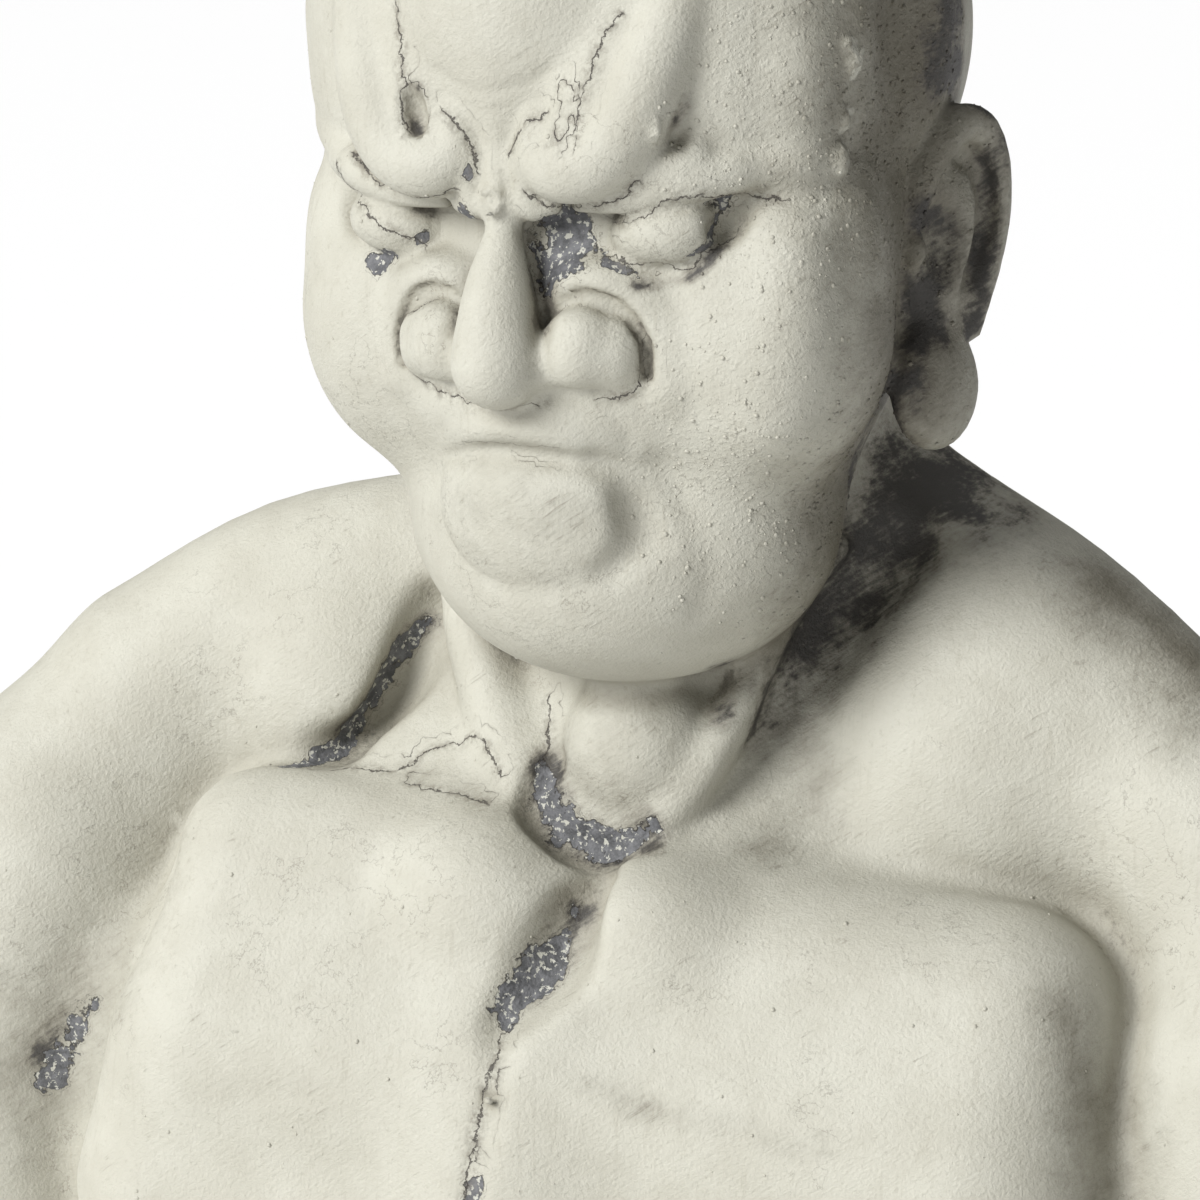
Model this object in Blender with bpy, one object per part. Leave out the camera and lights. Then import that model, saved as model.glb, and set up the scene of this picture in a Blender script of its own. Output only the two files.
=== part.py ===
"""Bust of a temple guardian in cast stone: bald head, scroll brows, bull neck, bare chest, cut flat below.

The bust is one casting, so it is one object. It is built up like clay: rounded masses are added with soft
joins, then rolls, folds and creases are laid along curves. Every mass is a signed distance in the figure's
own millimetres, sampled on a grid, and OpenVDB, which Blender bundles, skins the grid with faces.
The figure faces -Y with its left side at +X, and stands on the plane Z = 0.
"""

import math

import bmesh
import bpy
import numpy as np
import openvdb
from mathutils import Euler, Matrix

# Driving dimensions, in metres.
HEAD_HEIGHT = 0.170  # chin to crown
NOTCH_HEIGHT = 0.092  # throat notch above the flat underside

# Pose, in degrees.
HEAD_TURN = 10.0  # towards the figure's right
HEAD_NOD = 4.0  # chin down
TORSO_LEAN = 9.0  # shoulders lean to the figure's left

# Fineness of the solid.
GRID_STEP = 0.0018
TRIANGLES = 9000

# The figure is modelled at this head height, in its own millimetres, and scaled at the end.
MODELLED_HEAD = 170.0
METRES_PER_UNIT = HEAD_HEIGHT / MODELLED_HEAD
FAR = 60.0
JAW_FILLET = 5.0
BLOCK = 4
NEAR_BLOCKS = 1.6
SPAN_STEPS = 5

# The space that is sampled, from the throat notch. It reaches a little below the flat cut.
BELOW_CUT = 12.0
LOW = (-184.0, -72.0, -NOTCH_HEIGHT / METRES_PER_UNIT - BELOW_CUT)
HIGH = (184.0, 124.0, 210.0)

# Where the head's centre sits from the throat notch, and the ear's front edge from the head's centre.
HEAD_CENTRE = (5.0, 12.0, 118.0)
EAR_FRONT = (51.0, 4.0)
EAR_FLARE = math.radians(17)


def smooth_path(points, steps=SPAN_STEPS):
    """Rows of x, y, z, radius on a Catmull-Rom curve through the given rows."""
    rows = np.array(points, np.float32)
    if len(rows) < 3:
        return rows
    ends = np.vstack([2 * rows[0] - rows[1], rows, 2 * rows[-1] - rows[-2]])
    out = []
    for before, start, end, after in zip(ends, ends[1:], ends[2:], ends[3:]):
        for t in np.arange(steps) / steps:
            out.append(
                0.5
                * (
                    2 * start
                    + (end - before) * t
                    + (2 * before - 5 * start + 4 * end - after) * t**2
                    + (3 * start - before - 3 * end + after) * t**3
                )
            )
    out.append(rows[-1])
    return np.array(out, np.float32)


class Clay:
    """Signed distances at a cloud of points, negative inside, that masses are added to and carved from."""

    def __init__(self, points):
        self.world = points
        self.field = np.full(len(points), FAR, np.float32)
        self.local = points

    def work_in(self, origin, turn):
        """Takes the positions that follow in these axes."""
        axes = np.array(turn, np.float32)
        self.local = (self.world - np.array(origin, np.float32)) @ axes

    def near(self, low, high, pair):
        """Indexes and places of the points in a box. A pair is worked on both sides of x = 0."""
        x = np.abs(self.local[:, 0]) if pair else self.local[:, 0]
        y, z = self.local[:, 1], self.local[:, 2]
        inside = (x > low[0]) & (x < high[0]) & (y > low[1]) & (y < high[1])
        index = np.flatnonzero(inside & (z > low[2]) & (z < high[2]))
        return index, np.stack([x[index], y[index], z[index]], axis=1)

    def join(self, index, distance, blend):
        """Adds a form, with a fillet about as wide as blend."""
        old = self.field[index]
        share = np.clip(0.5 + 0.5 * (old - distance) / blend, 0, 1)
        self.field[index] = old + (distance - old) * share - blend * share * (1 - share)

    def carve(self, index, distance, blend):
        """Takes a form away, with its rim rounded by blend."""
        old = self.field[index]
        share = np.clip(0.5 - 0.5 * (old + distance) / blend, 0, 1)
        self.field[index] = old + (-distance - old) * share + blend * share * (1 - share)


class Masses(Clay):
    """Clay that takes round masses and blocks."""

    def ball_distance(self, at, radii, tilt, pair, reach):
        """Distance to an ellipsoid. tilt is Euler degrees."""
        centre = np.array(at, np.float32)
        radii = np.array(np.broadcast_to(radii, 3), np.float32)
        size = radii.max() + reach
        index, place = self.near(centre - size, centre + size, pair)
        turn = np.array(Euler([math.radians(a) for a in tilt]).to_matrix(), np.float32)
        place = (place - centre) @ turn
        outer = np.linalg.norm(place / radii, axis=1)
        inner = np.linalg.norm(place / radii**2, axis=1)
        return index, outer * (outer - 1) / np.maximum(inner, 1e-6)

    def ball(self, at, radii, blend=6.0, tilt=(0, 0, 0), pair=False):
        index, distance = self.ball_distance(at, radii, tilt, pair, 2 * blend + 8)
        self.join(index, distance, blend)

    def scoop(self, at, radii, blend=3.0, tilt=(0, 0, 0), pair=False):
        index, distance = self.ball_distance(at, radii, tilt, pair, 2 * blend + 4)
        self.carve(index, distance, blend)

    def slab(self, at, half, rounding=10.0, blend=6.0, tilt=(0, 0, 0), pair=False):
        """Adds a block with rounded edges. half is from its centre to its faces."""
        centre = np.array(at, np.float32)
        size = float(np.linalg.norm(half)) + 2 * blend + 4
        index, place = self.near(centre - size, centre + size, pair)
        turn = np.array(Euler([math.radians(a) for a in tilt]).to_matrix(), np.float32)
        gap = np.abs((place - centre) @ turn) - (np.array(half, np.float32) - rounding)
        outside = np.linalg.norm(np.maximum(gap, 0), axis=1)
        self.join(index, outside + np.minimum(gap.max(axis=1), 0) - rounding, blend)


class Sculpture(Masses):
    """Clay that takes rolls, grooves and creases along curves too."""

    def path_distance(self, points, reach, pair, squash=1.0):
        """Distance to a tapering tube. Below 1, squash flattens it front to back."""
        rows = smooth_path(points)
        size = rows[:, 3].max() + reach
        low, high = rows[:, :3].min(axis=0) - size, rows[:, :3].max(axis=0) + size
        index, place = self.near(low, high, pair)
        best = np.full(len(index), FAR, np.float32)
        stretch = np.array([1, 1 / squash, 1], np.float32)
        for start, end in zip(rows, rows[1:]):
            along = (end - start)[:3]
            offset = place - start[:3]
            share = np.clip(offset @ along / max(float(along @ along), 1e-6), 0, 1)
            gap = (offset - share[:, None] * along) * stretch
            radius = start[3] + (end[3] - start[3]) * share
            best = np.minimum(best, np.linalg.norm(gap, axis=1) - radius)
        return index, best

    def roll(self, points, blend=3.0, pair=False, squash=1.0):
        """Lays a sausage of clay. Each row is x, y, z, radius."""
        index, distance = self.path_distance(points, 2 * blend + 4, pair, squash)
        self.join(index, distance * min(1.0, squash), blend)

    def trench(self, points, blend=1.0, pair=False):
        """Presses a rod into the clay. Each row is x, y, z, radius."""
        index, distance = self.path_distance(points, 2 * blend + 4, pair)
        self.carve(index, distance, blend)

    def line(self, points, depth, width, pair=False):
        """Sinks a soft crease along a curve, or raises one where depth is negative. Rows are x, y, z."""
        rows = [(*point, 0.0) for point in points]
        index, distance = self.path_distance(rows, 3 * width, pair)
        self.field[index] += depth * np.exp(-((distance / width) ** 2))


def on_ear(*rows):
    """Rows x, y, z, radius in head axes, from rows back from the ear's front edge, up, out, radius."""
    across, along = math.sin(EAR_FLARE), math.cos(EAR_FLARE)
    front_x, front_y = EAR_FRONT
    return [
        (front_x + across * back + along * out, front_y + along * back - across * out, up, radius)
        for back, up, out, radius in rows
    ]


def model_skull(clay):
    """Cranium, cheeks, jaw and muzzle."""
    clay.ball((0, -5, 34), (60.5, 44, 49), blend=8)
    clay.ball((0, 14, 30), (57, 57, 53), blend=16)
    clay.ball((0, 4, -20), (50, 42, 46), blend=14)
    clay.ball((0, -8, -57.5), (43, 31, 32), blend=12)
    clay.ball((0, -22, -64), (27, 20, 19), blend=9)
    clay.ball((0, -20, -12), (36, 23, 22), blend=8)
    clay.ball((34, -17, -20), (25, 24, 30), blend=9, pair=True)
    clay.ball((45, -13, -2), (14, 17, 15), blend=8, pair=True)
    clay.ball((32, -13, 19), (20.5, 24, 15), blend=9, pair=True)
    clay.ball((0, -25, -31), (31, 23.5, 17), blend=8)


def model_brows(clay):
    """Forehead tongue between two hanging brow lobes, with the lid folds under them."""
    clay.ball((0, -37, 40), (23, 17.5, 25), blend=3)
    clay.roll([(0, -42, 36, 9.5), (0, -43.6, 26, 8), (0, -46, 17.6, 4)], blend=3)
    clay.roll([(24, -39, 38, 6), (19, -43.4, 26, 7), (15, -45.4, 17, 7)], blend=3, pair=True)
    scroll = [
        (35, -31, 54, 4.5),
        (31.8, -38, 40, 6.6),
        (28.8, -42, 29, 7.4),
        (25.4, -45, 19.2, 7.4),
        (20.3, -47, 12.8, 7),
        (13.6, -48, 10.8, 6.6),
        (8.8, -47.2, 13.2, 5.6),
        (8.6, -46.6, 18.5, 4.4),
    ]
    clay.roll(scroll, blend=2, pair=True)
    clay.roll([(0, -45.5, 18, 3.2), (0, -47.3, 9, 3.6), (0, -47.4, 4.5, 3.6)], blend=2)
    clay.roll([(-9, -45.5, 4, 2.6), (0, -47.2, 4.6, 3.2), (9, -45.5, 4, 2.6)], blend=2)
    clay.ball((27.2, -36.8, -0.8), (11, 8.4, 6.8), blend=1, tilt=(0, -6, 0), pair=True)
    clay.scoop((39.5, -36, 0.5), (4, 4, 2.6), blend=2.5, tilt=(0, -30, 0), pair=True)
    clay.roll(
        [
            (13.7, -43.4, 4, 2), (20, -43.8, 4.8, 2.8), (26, -42.6, 6, 3.6), (33, -39.6, 8, 4.2),
            (39, -35, 9.6, 4.2),
        ],
        blend=1.2,
        pair=True,
    )
    clay.roll([(33, -38.8, 8.8, 4.4), (41, -33, 10, 4.4), (49, -23.6, 9, 4), (54, -14, 7, 3)], blend=2)
    clay.roll([(-33, -38.8, 8.8, 4.4), (-41, -33, 12, 4.4), (-49, -24, 15, 4), (-55, -14, 17, 3)], blend=2)


def model_nose(clay):
    """Cone of a nose with a ball tip, round wings and the snarling folds that arch over them."""
    arch = [
        (8, -40.6, -15, 3.4), (11, -42, -11.2, 4.4), (16.6, -41.8, -10, 4.8), (22.4, -39.6, -12.4, 4.8),
        (26.4, -37.6, -19, 4.8), (27.2, -37.2, -28, 4.4),
    ]
    clay.roll(arch, blend=4, pair=True)
    clay.roll(
        [
            (0, -45, 4, 3), (0, -47, -1.4, 3.8), (0, -49.4, -10.7, 6.4), (0, -50.6, -19, 8),
            (0, -50.8, -23.6, 8.8),
        ],
        blend=3,
    )
    clay.ball((13.6, -46.2, -22.2), (6.8, 6, 6.4), blend=1.6, pair=True)
    clay.ball((19.6, -42.6, -23), (5.2, 5.6, 5.8), blend=3, pair=True)
    clay.ball((7.6, -46.6, -24), (4, 4.4, 5), blend=3, pair=True)
    ring = [
        (9.4, -46.2, -17.4, 0.9), (12.2, -46, -15.4, 1.2), (16.6, -45.6, -14.8, 1), (
            21, -43.8, -16.4, 0.75
        ),
        (24.4, -42, -21, 0.6), (24.8, -41.4, -26, 0.5),
    ]
    clay.trench(ring, blend=1, pair=True)


def model_mouth(clay):
    """Thin upper lip and the smooth shield of the lower lip pushed up against it."""
    clay.ball((0, -26.4, -54), (26, 20.4, 18), blend=2.4)
    clay.ball((0, -30, -47.5), (21.5, 16.8, 8.8), blend=5)
    clay.roll(
        [
            (-19, -37, -40.6, 1.2), (-9, -44.6, -37.2, 2), (0, -46.2, -36, 2.2), (9, -44.6, -37.2, 2),
            (19, -37, -40.6, 1.2),
        ],
        blend=3,
    )
    clay.line(
        [
            (-19.5, -42.5, -43.4), (-15, -45, -42), (-7, -46.6, -41), (0, -47, -41), (7, -46.6, -41.2),
            (15, -45, -42.4), (20, -42, -44.6),
        ],
        depth=0.9,
        width=0.9,
    )
    clay.trench([(21.5, -42, -46, 1.6), (23.5, -39.6, -50, 2.6), (23, -38, -56, 2.2)], blend=4)


def model_ears(clay):
    """Long-lobed ears with a broad rim, a deep groove inside it and a hollow shell."""
    clay.roll(on_ear((9, 6, -3, 6), (12, 0, -3, 7), (11, -12, -3, 7), (9, -26, -3, 6)), blend=4, pair=True)
    clay.ball(on_ear((12.5, -4, 0.5, 0))[0][:3], (4.6, 13, 18.5), blend=3, tilt=(0, 0, -17), pair=True)
    clay.ball(on_ear((8.8, -35, 1, 0))[0][:3], (5.8, 10.6, 12), blend=3, tilt=(0, 0, -17), pair=True)
    rim = on_ear(
        (2.9, -4, 2, 3), (4.5, 4.6, 3, 3.8), (8.6, 10.2, 3.8, 4.2), (14, 12.8, 4.2, 4), (19, 11, 4.4, 3.8),
        (21.8, 4.6, 4.8, 3.4), (22, -3.7, 4.8, 3.2), (20.6, -12, 4.2, 3), (18.6, -20, 3, 2.8), (
            17.6, -25, 2, 2.6
        ),
    )
    clay.roll(rim, blend=1.5, pair=True)
    clay.roll(on_ear((15, -18, 0.5, 3), (13.6, -25, 0.5, 3.6)), blend=2, pair=True)
    shell = on_ear(
        (15.4, 4, 3.4, 1.4), (15.8, -2, 4, 1.9), (15, -8, 4, 1.9), (12, -15, 3.4, 2), (9, -21, 2.6, 2)
    )
    clay.roll(shell, blend=2, pair=True)
    clay.scoop(on_ear((7.6, -8, 5.4, 0))[0][:3], (3.6, 4.6, 8), blend=1.5, tilt=(0, 0, -17), pair=True)
    groove = on_ear(
        (13, 6.6, 5, 1.6), (17.2, 4.4, 5.2, 2), (18.6, -2, 5.4, 2), (17.6, -9, 5, 1.9),
        (14.6, -16, 4.2, 1.5),
    )
    clay.trench(groove, blend=1, pair=True)
    clay.ball(on_ear((1.9, -9, 3, 0))[0][:3], (2.8, 2.6, 3.6), blend=1.5, pair=True)
    clay.trench(on_ear((4.4, -14, 4.4, 1.6), (6, -20, 4.6, 1.8), (5, -25, 4.4, 1)), blend=1, pair=True)


def model_head(clay):
    """The head, in its own axes: origin at the middle of the skull, face at -Y."""
    model_skull(clay)
    model_brows(clay)
    model_nose(clay)
    model_mouth(clay)
    model_ears(clay)


def model_torso(clay):
    """Neck, shoulders and chest, in axes that lean with the shoulders: origin at the throat notch."""
    # Trunk, back and neck.
    clay.ball((0, 44, -60), (96, 60, 84), blend=14)
    clay.ball((0, 46, -24), (126, 30, 48), blend=14)
    clay.ball((66, 46, -80), (44, 48, 76), blend=16)
    clay.ball((-64, 44, -84), (42, 48, 72), blend=16)
    clay.roll([(0, 46, -15, 38), (2, 44, 80, 28)], blend=10)
    # Traps that run out to the shoulders, the left one raised, and the blades of the back.
    clay.ball((34, 66, 16), (64, 30, 42), blend=16, tilt=(0, 24, 0))
    clay.ball((-38, 64, 2), (64, 30, 40), blend=16, tilt=(0, -20, 0))
    clay.roll([(16, 58, 66, 18), (44, 53, 53, 21), (72, 48, 41, 22), (112, 40, 13, 26)], blend=16)
    clay.roll([(-20, 58, 50, 18), (-50, 53, 33, 22), (-80, 48, 19, 24), (-104, 40, -2, 25)], blend=16)
    clay.ball((62, 80, -26), (34, 20, 38), blend=14, tilt=(0, 14, 0))
    clay.ball((-62, 78, -40), (34, 20, 38), blend=14, tilt=(0, -14, 0))
    clay.ball((-66, 34, 8), (18, 16, 20), blend=12)
    clay.ball((60, 38, 22), (32, 24, 36), blend=12)
    clay.line([(3, 92, 46), (0, 99, 10), (0, 104, -40), (0, 104, -96)], depth=3.5, width=8)
    # Cords of the neck and the lump of the throat.
    clay.roll(
        [
            (32, 27, 56, 5), (24.4, 19.5, 39, 5.4), (21, 15, 26, 5.4), (16.6, 11, 15, 5.4),
            (11.6, 7, 4, 4.6),
        ],
        blend=3,
    )
    clay.roll([(-40, 30, 34, 8), (-28, 20, 16, 7), (-13, 8, 0, 5)], blend=5)
    clay.ball((3, 13, 16), (14.5, 12.5, 16), blend=3)
    clay.trench([(-47, 30, 30, 3), (-51, 27, 14, 4), (-57, 21, 2, 3), (-66, 8, -2, 2)], blend=6)
    clay.trench(
        [(42, 30, 60, 5), (34.5, 25, 47, 5), (31, 19, 34, 4.4), (28.8, 14, 23, 3.6), (26, 10, 12, 2)],
        blend=6,
    )
    # Shoulders and upper arms.
    clay.ball((133, 36, -26), (36, 42, 46), blend=12)
    clay.ball((-118, 34, -44), (35, 40, 44), blend=14)
    clay.roll([(134, 32, -36, 34), (138, 28, -140, 34)], blend=10)
    clay.roll([(-121, 30, -50, 33), (-126, 26, -140, 33)], blend=10)
    # Chest slabs, with a pit between their upper corners and a furrow down the middle.
    clay.slab((52, 8, -34), (53, 26, 36), rounding=24, blend=6, tilt=(-24, -2.5, 0))
    clay.slab((-42, 8, -38), (42, 26, 36), rounding=20, blend=5, tilt=(-24, -5, 0))
    clay.slab((58, 7, -68), (52, 28, 38), rounding=26, blend=14, tilt=(-16, 0, 0))
    clay.slab((-48, 7, -70), (44, 28, 38), rounding=24, blend=14, tilt=(-16, -4, 0))
    clay.ball((0, 4, -60), (30, 32, 46), blend=10)
    clay.ball((16, -2, -15), (16, 13, 13), blend=9)
    clay.ball((-17, -3, -15), (17, 13, 13), blend=9)
    clay.trench(
        [
            (-12, 9, 11, 1.2), (-13, 5, 4, 2.6), (-9, 2, 0, 3.6), (-1, 0.6, -2.4, 3.8), (7, 1, -1, 2.6),
            (10, 3, 2, 1),
        ],
        blend=3,
    )
    clay.trench(
        [(6, -5, -8, 2), (4, -9, -13, 4), (2, -14, -20, 5), (-1, -18, -27, 4), (-4, -21, -33, 1.6)],
        blend=6,
    )
    clay.line(
        [(-4, -20, -32), (-3, -25, -39), (-2, -28, -48), (-3, -29, -60), (-4, -29, -76)],
        depth=1.6,
        width=2.6,
    )
    clay.trench([(-80, 8, -14, 2), (-86, -6, -34, 4), (-91, -8, -56, 5), (-96, -4, -84, 5)], blend=6)


def figure(points):
    """Signed distance of the whole figure at points, in its own millimetres, from the throat notch."""
    torso = Sculpture(points)
    torso.work_in((0, 0, 0), Euler((0, math.radians(TORSO_LEAN), 0)).to_matrix())
    model_torso(torso)
    head = Sculpture(points)
    turn = Matrix.Rotation(math.radians(-HEAD_TURN), 3, "Z") @ Matrix.Rotation(
        math.radians(HEAD_NOD), 3, "X"
    )
    head.work_in(HEAD_CENTRE, turn)
    model_head(head)
    torso.join(slice(None), head.field, JAW_FILLET)
    return torso.field


def sample(low, high, step):
    """The figure's distances on a grid. Only the blocks near its skin are sampled finely."""
    counts = np.ceil((np.array(high) - low) / (step * BLOCK)).astype(int)
    corner = np.array(low, np.float32)
    middles = (np.indices(counts).reshape(3, -1).T + 0.5 - 0.5 / BLOCK) * step * BLOCK + corner
    coarse = figure(middles.astype(np.float32))
    dense = np.repeat(coarse, BLOCK**3).reshape(*counts, BLOCK, BLOCK, BLOCK)
    close = np.flatnonzero(np.abs(coarse) < step * BLOCK * NEAR_BLOCKS)
    inner = np.indices((BLOCK,) * 3).reshape(3, -1).T
    starts = np.stack(np.unravel_index(close, counts), axis=1) * BLOCK
    fine = (starts[:, None] + inner[None]).reshape(-1, 3) * step + corner
    dense.reshape(len(coarse), -1)[close] = figure(fine.astype(np.float32)).reshape(len(close), -1)
    return dense.transpose(0, 3, 1, 4, 2, 5).reshape(counts * BLOCK)


def soften(field):
    """Evens each distance with its neighbours, so that no crease is tighter than the grid can hold."""
    for axis in range(3):
        layers = np.moveaxis(field, axis, 0)
        layers[1:-1] = 0.5 * layers[1:-1] + 0.25 * (layers[:-2] + layers[2:])
    return field


def skin(low, high, step):
    """Points, in the figure's millimetres, and faces of the figure's skin."""
    field = soften(sample(low, high, step))
    grid = openvdb.FloatGrid(FAR)
    grid.copyFromArray(np.ascontiguousarray(field, np.float32))
    points, quads = grid.convertToQuads()
    return points * step + np.array(low), quads[:, ::-1]


def stone(name, colour, roughness):
    """A plain Principled material for the solid."""
    material = bpy.data.materials.new(name)
    material.use_nodes = True
    shader = material.node_tree.nodes["Principled BSDF"]
    shader.inputs["Base Color"].default_value = (*colour, 1)
    shader.inputs["Roughness"].default_value = roughness
    return material


def drop_folds(work):
    """Removes pairs of faces that thinning has folded flat against each other in a tight crease."""
    while True:
        seen = {}
        for face in work.faces:
            seen.setdefault(frozenset(corner.index for corner in face.verts), []).append(face)
        folded = [face for group in seen.values() if len(group) > 1 for face in group]
        if not folded:
            return
        bmesh.ops.delete(work, geom=folded, context="FACES")
        work.verts.index_update()


def bust(name):
    """The figure as one closed body in metres, thinned to its triangle count and cut flat at Z = 0."""
    points, faces = skin(LOW, HIGH, GRID_STEP / METRES_PER_UNIT)
    places = points * METRES_PER_UNIT + np.array([0, 0, NOTCH_HEIGHT])
    mesh = bpy.data.meshes.new(name)
    mesh.from_pydata(places.tolist(), [], faces.tolist())
    body = bpy.data.objects.new(name, mesh)
    collection = bpy.data.collections.new("Nio guardian bust")
    bpy.context.scene.collection.children.link(collection)
    collection.objects.link(body)
    thin = body.modifiers.new("Thin", "DECIMATE")
    thin.ratio = TRIANGLES / (2 * len(faces))
    thinned = bpy.data.meshes.new_from_object(body.evaluated_get(bpy.context.evaluated_depsgraph_get()))
    body.modifiers.clear()
    body.data = thinned
    work = bmesh.new()
    work.from_mesh(thinned)
    drop_folds(work)
    whole = work.verts[:] + work.edges[:] + work.faces[:]
    cut = bmesh.ops.bisect_plane(
        work, geom=whole, plane_co=(0, 0, 0), plane_no=(0, 0, 1), clear_inner=True
    )
    rim = [edge for edge in cut["geom_cut"] if isinstance(edge, bmesh.types.BMEdge)]
    bmesh.ops.holes_fill(work, edges=rim)
    bmesh.ops.triangulate(work, faces=work.faces[:])
    bmesh.ops.recalc_face_normals(work, faces=work.faces[:])
    work.to_mesh(thinned)
    work.free()
    thinned.materials.append(stone("Painted stone", (0.55, 0.54, 0.47), 0.8))
    return body


for leftover in list(bpy.data.objects):
    bpy.data.objects.remove(leftover)
bust("nio_guardian_bust")
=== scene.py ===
# %% [markdown]
# # A temple guardian in worn cast stone
# The object is a close-up of a gate guardian's head and chest: a bald, scowling head with brows that hang
# in two fat scrolls, long ears, a bull neck and a bare chest. It is cast in grey stone and dry-brushed
# off-white. The CAD solid gives its size, pose and masses. This script works the same masses out again much
# finer, adds the small relief that the solid leaves out, and paints it. The figure faces -Y, with its left
# side at +X.

# %% [markdown]
# ## The frame
# The imported model comes in first and fixes the place and size of everything. The fine model has to stay
# inside it.

# %% Load the frame
import math

import bmesh
import bpy
import numpy as np
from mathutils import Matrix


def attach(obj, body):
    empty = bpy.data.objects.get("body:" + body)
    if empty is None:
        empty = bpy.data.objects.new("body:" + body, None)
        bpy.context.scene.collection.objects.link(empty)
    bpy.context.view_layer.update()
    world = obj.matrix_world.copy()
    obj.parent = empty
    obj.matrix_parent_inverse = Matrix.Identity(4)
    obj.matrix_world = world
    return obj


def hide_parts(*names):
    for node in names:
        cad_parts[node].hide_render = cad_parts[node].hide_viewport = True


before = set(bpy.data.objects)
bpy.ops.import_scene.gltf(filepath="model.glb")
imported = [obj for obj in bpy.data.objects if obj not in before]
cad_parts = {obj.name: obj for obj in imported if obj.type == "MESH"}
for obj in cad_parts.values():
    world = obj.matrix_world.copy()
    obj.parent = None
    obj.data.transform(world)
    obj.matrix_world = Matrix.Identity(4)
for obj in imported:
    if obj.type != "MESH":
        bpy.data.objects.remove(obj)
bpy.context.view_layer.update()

import openvdb
from mathutils import Euler, Matrix, Vector

NODE = "nio_guardian_bust"

# %% [markdown]
# ## Named sizes
# The figure is modelled in its own millimetres, at a head height of 170, and scaled once to the real head.
# All places are measured from the throat notch, or from the middle of the skull in the head's own axes. The
# fine skin is drawn in by INSET, half a millimetre or so, which keeps it inside the box of the solid.

# %% Sizes and pose
HEAD_HEIGHT = 0.170  # chin to crown, in metres
NOTCH_HEIGHT = 0.092  # throat notch above the flat underside, in metres
HEAD_TURN = 10.0  # degrees to its right
HEAD_NOD = 4.0  # degrees down
TORSO_LEAN = 9.0  # degrees, sideways

MODELLED_HEAD = 170.0
METRES_PER_UNIT = HEAD_HEIGHT / MODELLED_HEAD
HEAD_CENTRE = (5.0, 12.0, 118.0)
EAR_FRONT = (51.0, 4.0)
EAR_FLARE = math.radians(17)
JAW_FILLET = 5.0
INSET = 0.45
SPAN_STEPS = 5  # straight pieces between two places on a curve

FAR = 60.0  # the distance where no form is near
BLOCK = 4  # grid cells along one side of a block
NEAR_BLOCKS = 1.6  # a block this near to the skin, in blocks, is sampled finely
BELOW_CUT = 12.0
LOW = (-184.0, -72.0, -NOTCH_HEIGHT / METRES_PER_UNIT - BELOW_CUT)
HIGH = (184.0, 124.0, 210.0)
GRID_STEP = 0.85
TRIANGLES = 135000  # of the skin, before its grains

# %% [markdown]
# ## A field of clay
# A sculptor builds such a head from lumps pressed together, with a soft fillet wherever two lumps meet. A
# signed distance field does the same with numbers: each mass lowers the field inside itself, and a smooth
# minimum makes the fillet. The class keeps one distance for each sample point, and works only on the points
# near a form.

# %% Clay: the field, and how forms are joined and carved
def smooth_path(points, steps=SPAN_STEPS):
    """Rows of x, y, z, radius on a Catmull-Rom curve through the given rows."""
    rows = np.array(points, np.float32)
    if len(rows) < 3:
        return rows
    ends = np.vstack([2 * rows[0] - rows[1], rows, 2 * rows[-1] - rows[-2]])
    out = []
    for before, start, end, after in zip(ends, ends[1:], ends[2:], ends[3:]):
        for t in np.arange(steps) / steps:
            out.append(
                0.5
                * (
                    2 * start
                    + (end - before) * t
                    + (2 * before - 5 * start + 4 * end - after) * t**2
                    + (3 * start - before - 3 * end + after) * t**3
                )
            )
    out.append(rows[-1])
    return np.array(out, np.float32)


def from_segment(place, start, end):
    """Offsets from the nearest spot of a segment, and how far along it that spot is, from 0 to 1."""
    along = (end - start)[:3]
    offset = place - start[:3]
    share = np.clip(offset @ along / max(float(along @ along), 1e-6), 0, 1)
    return offset - share[:, None] * along, share


class Clay:
    """Signed distances at a cloud of points, negative inside, that masses are added to and carved from."""

    def __init__(self, points):
        self.world = points
        self.field = np.full(len(points), FAR, np.float32)
        self.local = points

    def work_in(self, origin, turn):
        """Takes the positions that follow in these axes."""
        axes = np.array(turn, np.float32)
        self.local = (self.world - np.array(origin, np.float32)) @ axes

    def near(self, low, high, pair):
        """Indexes and places of the points in a box. A pair is worked on both sides of x = 0."""
        x = np.abs(self.local[:, 0]) if pair else self.local[:, 0]
        y, z = self.local[:, 1], self.local[:, 2]
        inside = (x > low[0]) & (x < high[0]) & (y > low[1]) & (y < high[1])
        index = np.flatnonzero(inside & (z > low[2]) & (z < high[2]))
        return index, np.stack([x[index], y[index], z[index]], axis=1)

    def join(self, index, distance, blend):
        """Adds a form, with a fillet about as wide as blend."""
        old = self.field[index]
        share = np.clip(0.5 + 0.5 * (old - distance) / blend, 0, 1)
        self.field[index] = old + (distance - old) * share - blend * share * (1 - share)

    def carve(self, index, distance, blend):
        """Takes a form away, with its rim rounded by blend."""
        old = self.field[index]
        share = np.clip(0.5 - 0.5 * (old + distance) / blend, 0, 1)
        self.field[index] = old + (-distance - old) * share + blend * share * (1 - share)

# %% [markdown]
# Balls and soft blocks make the masses. A scoop is the same ball taken away.

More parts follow.
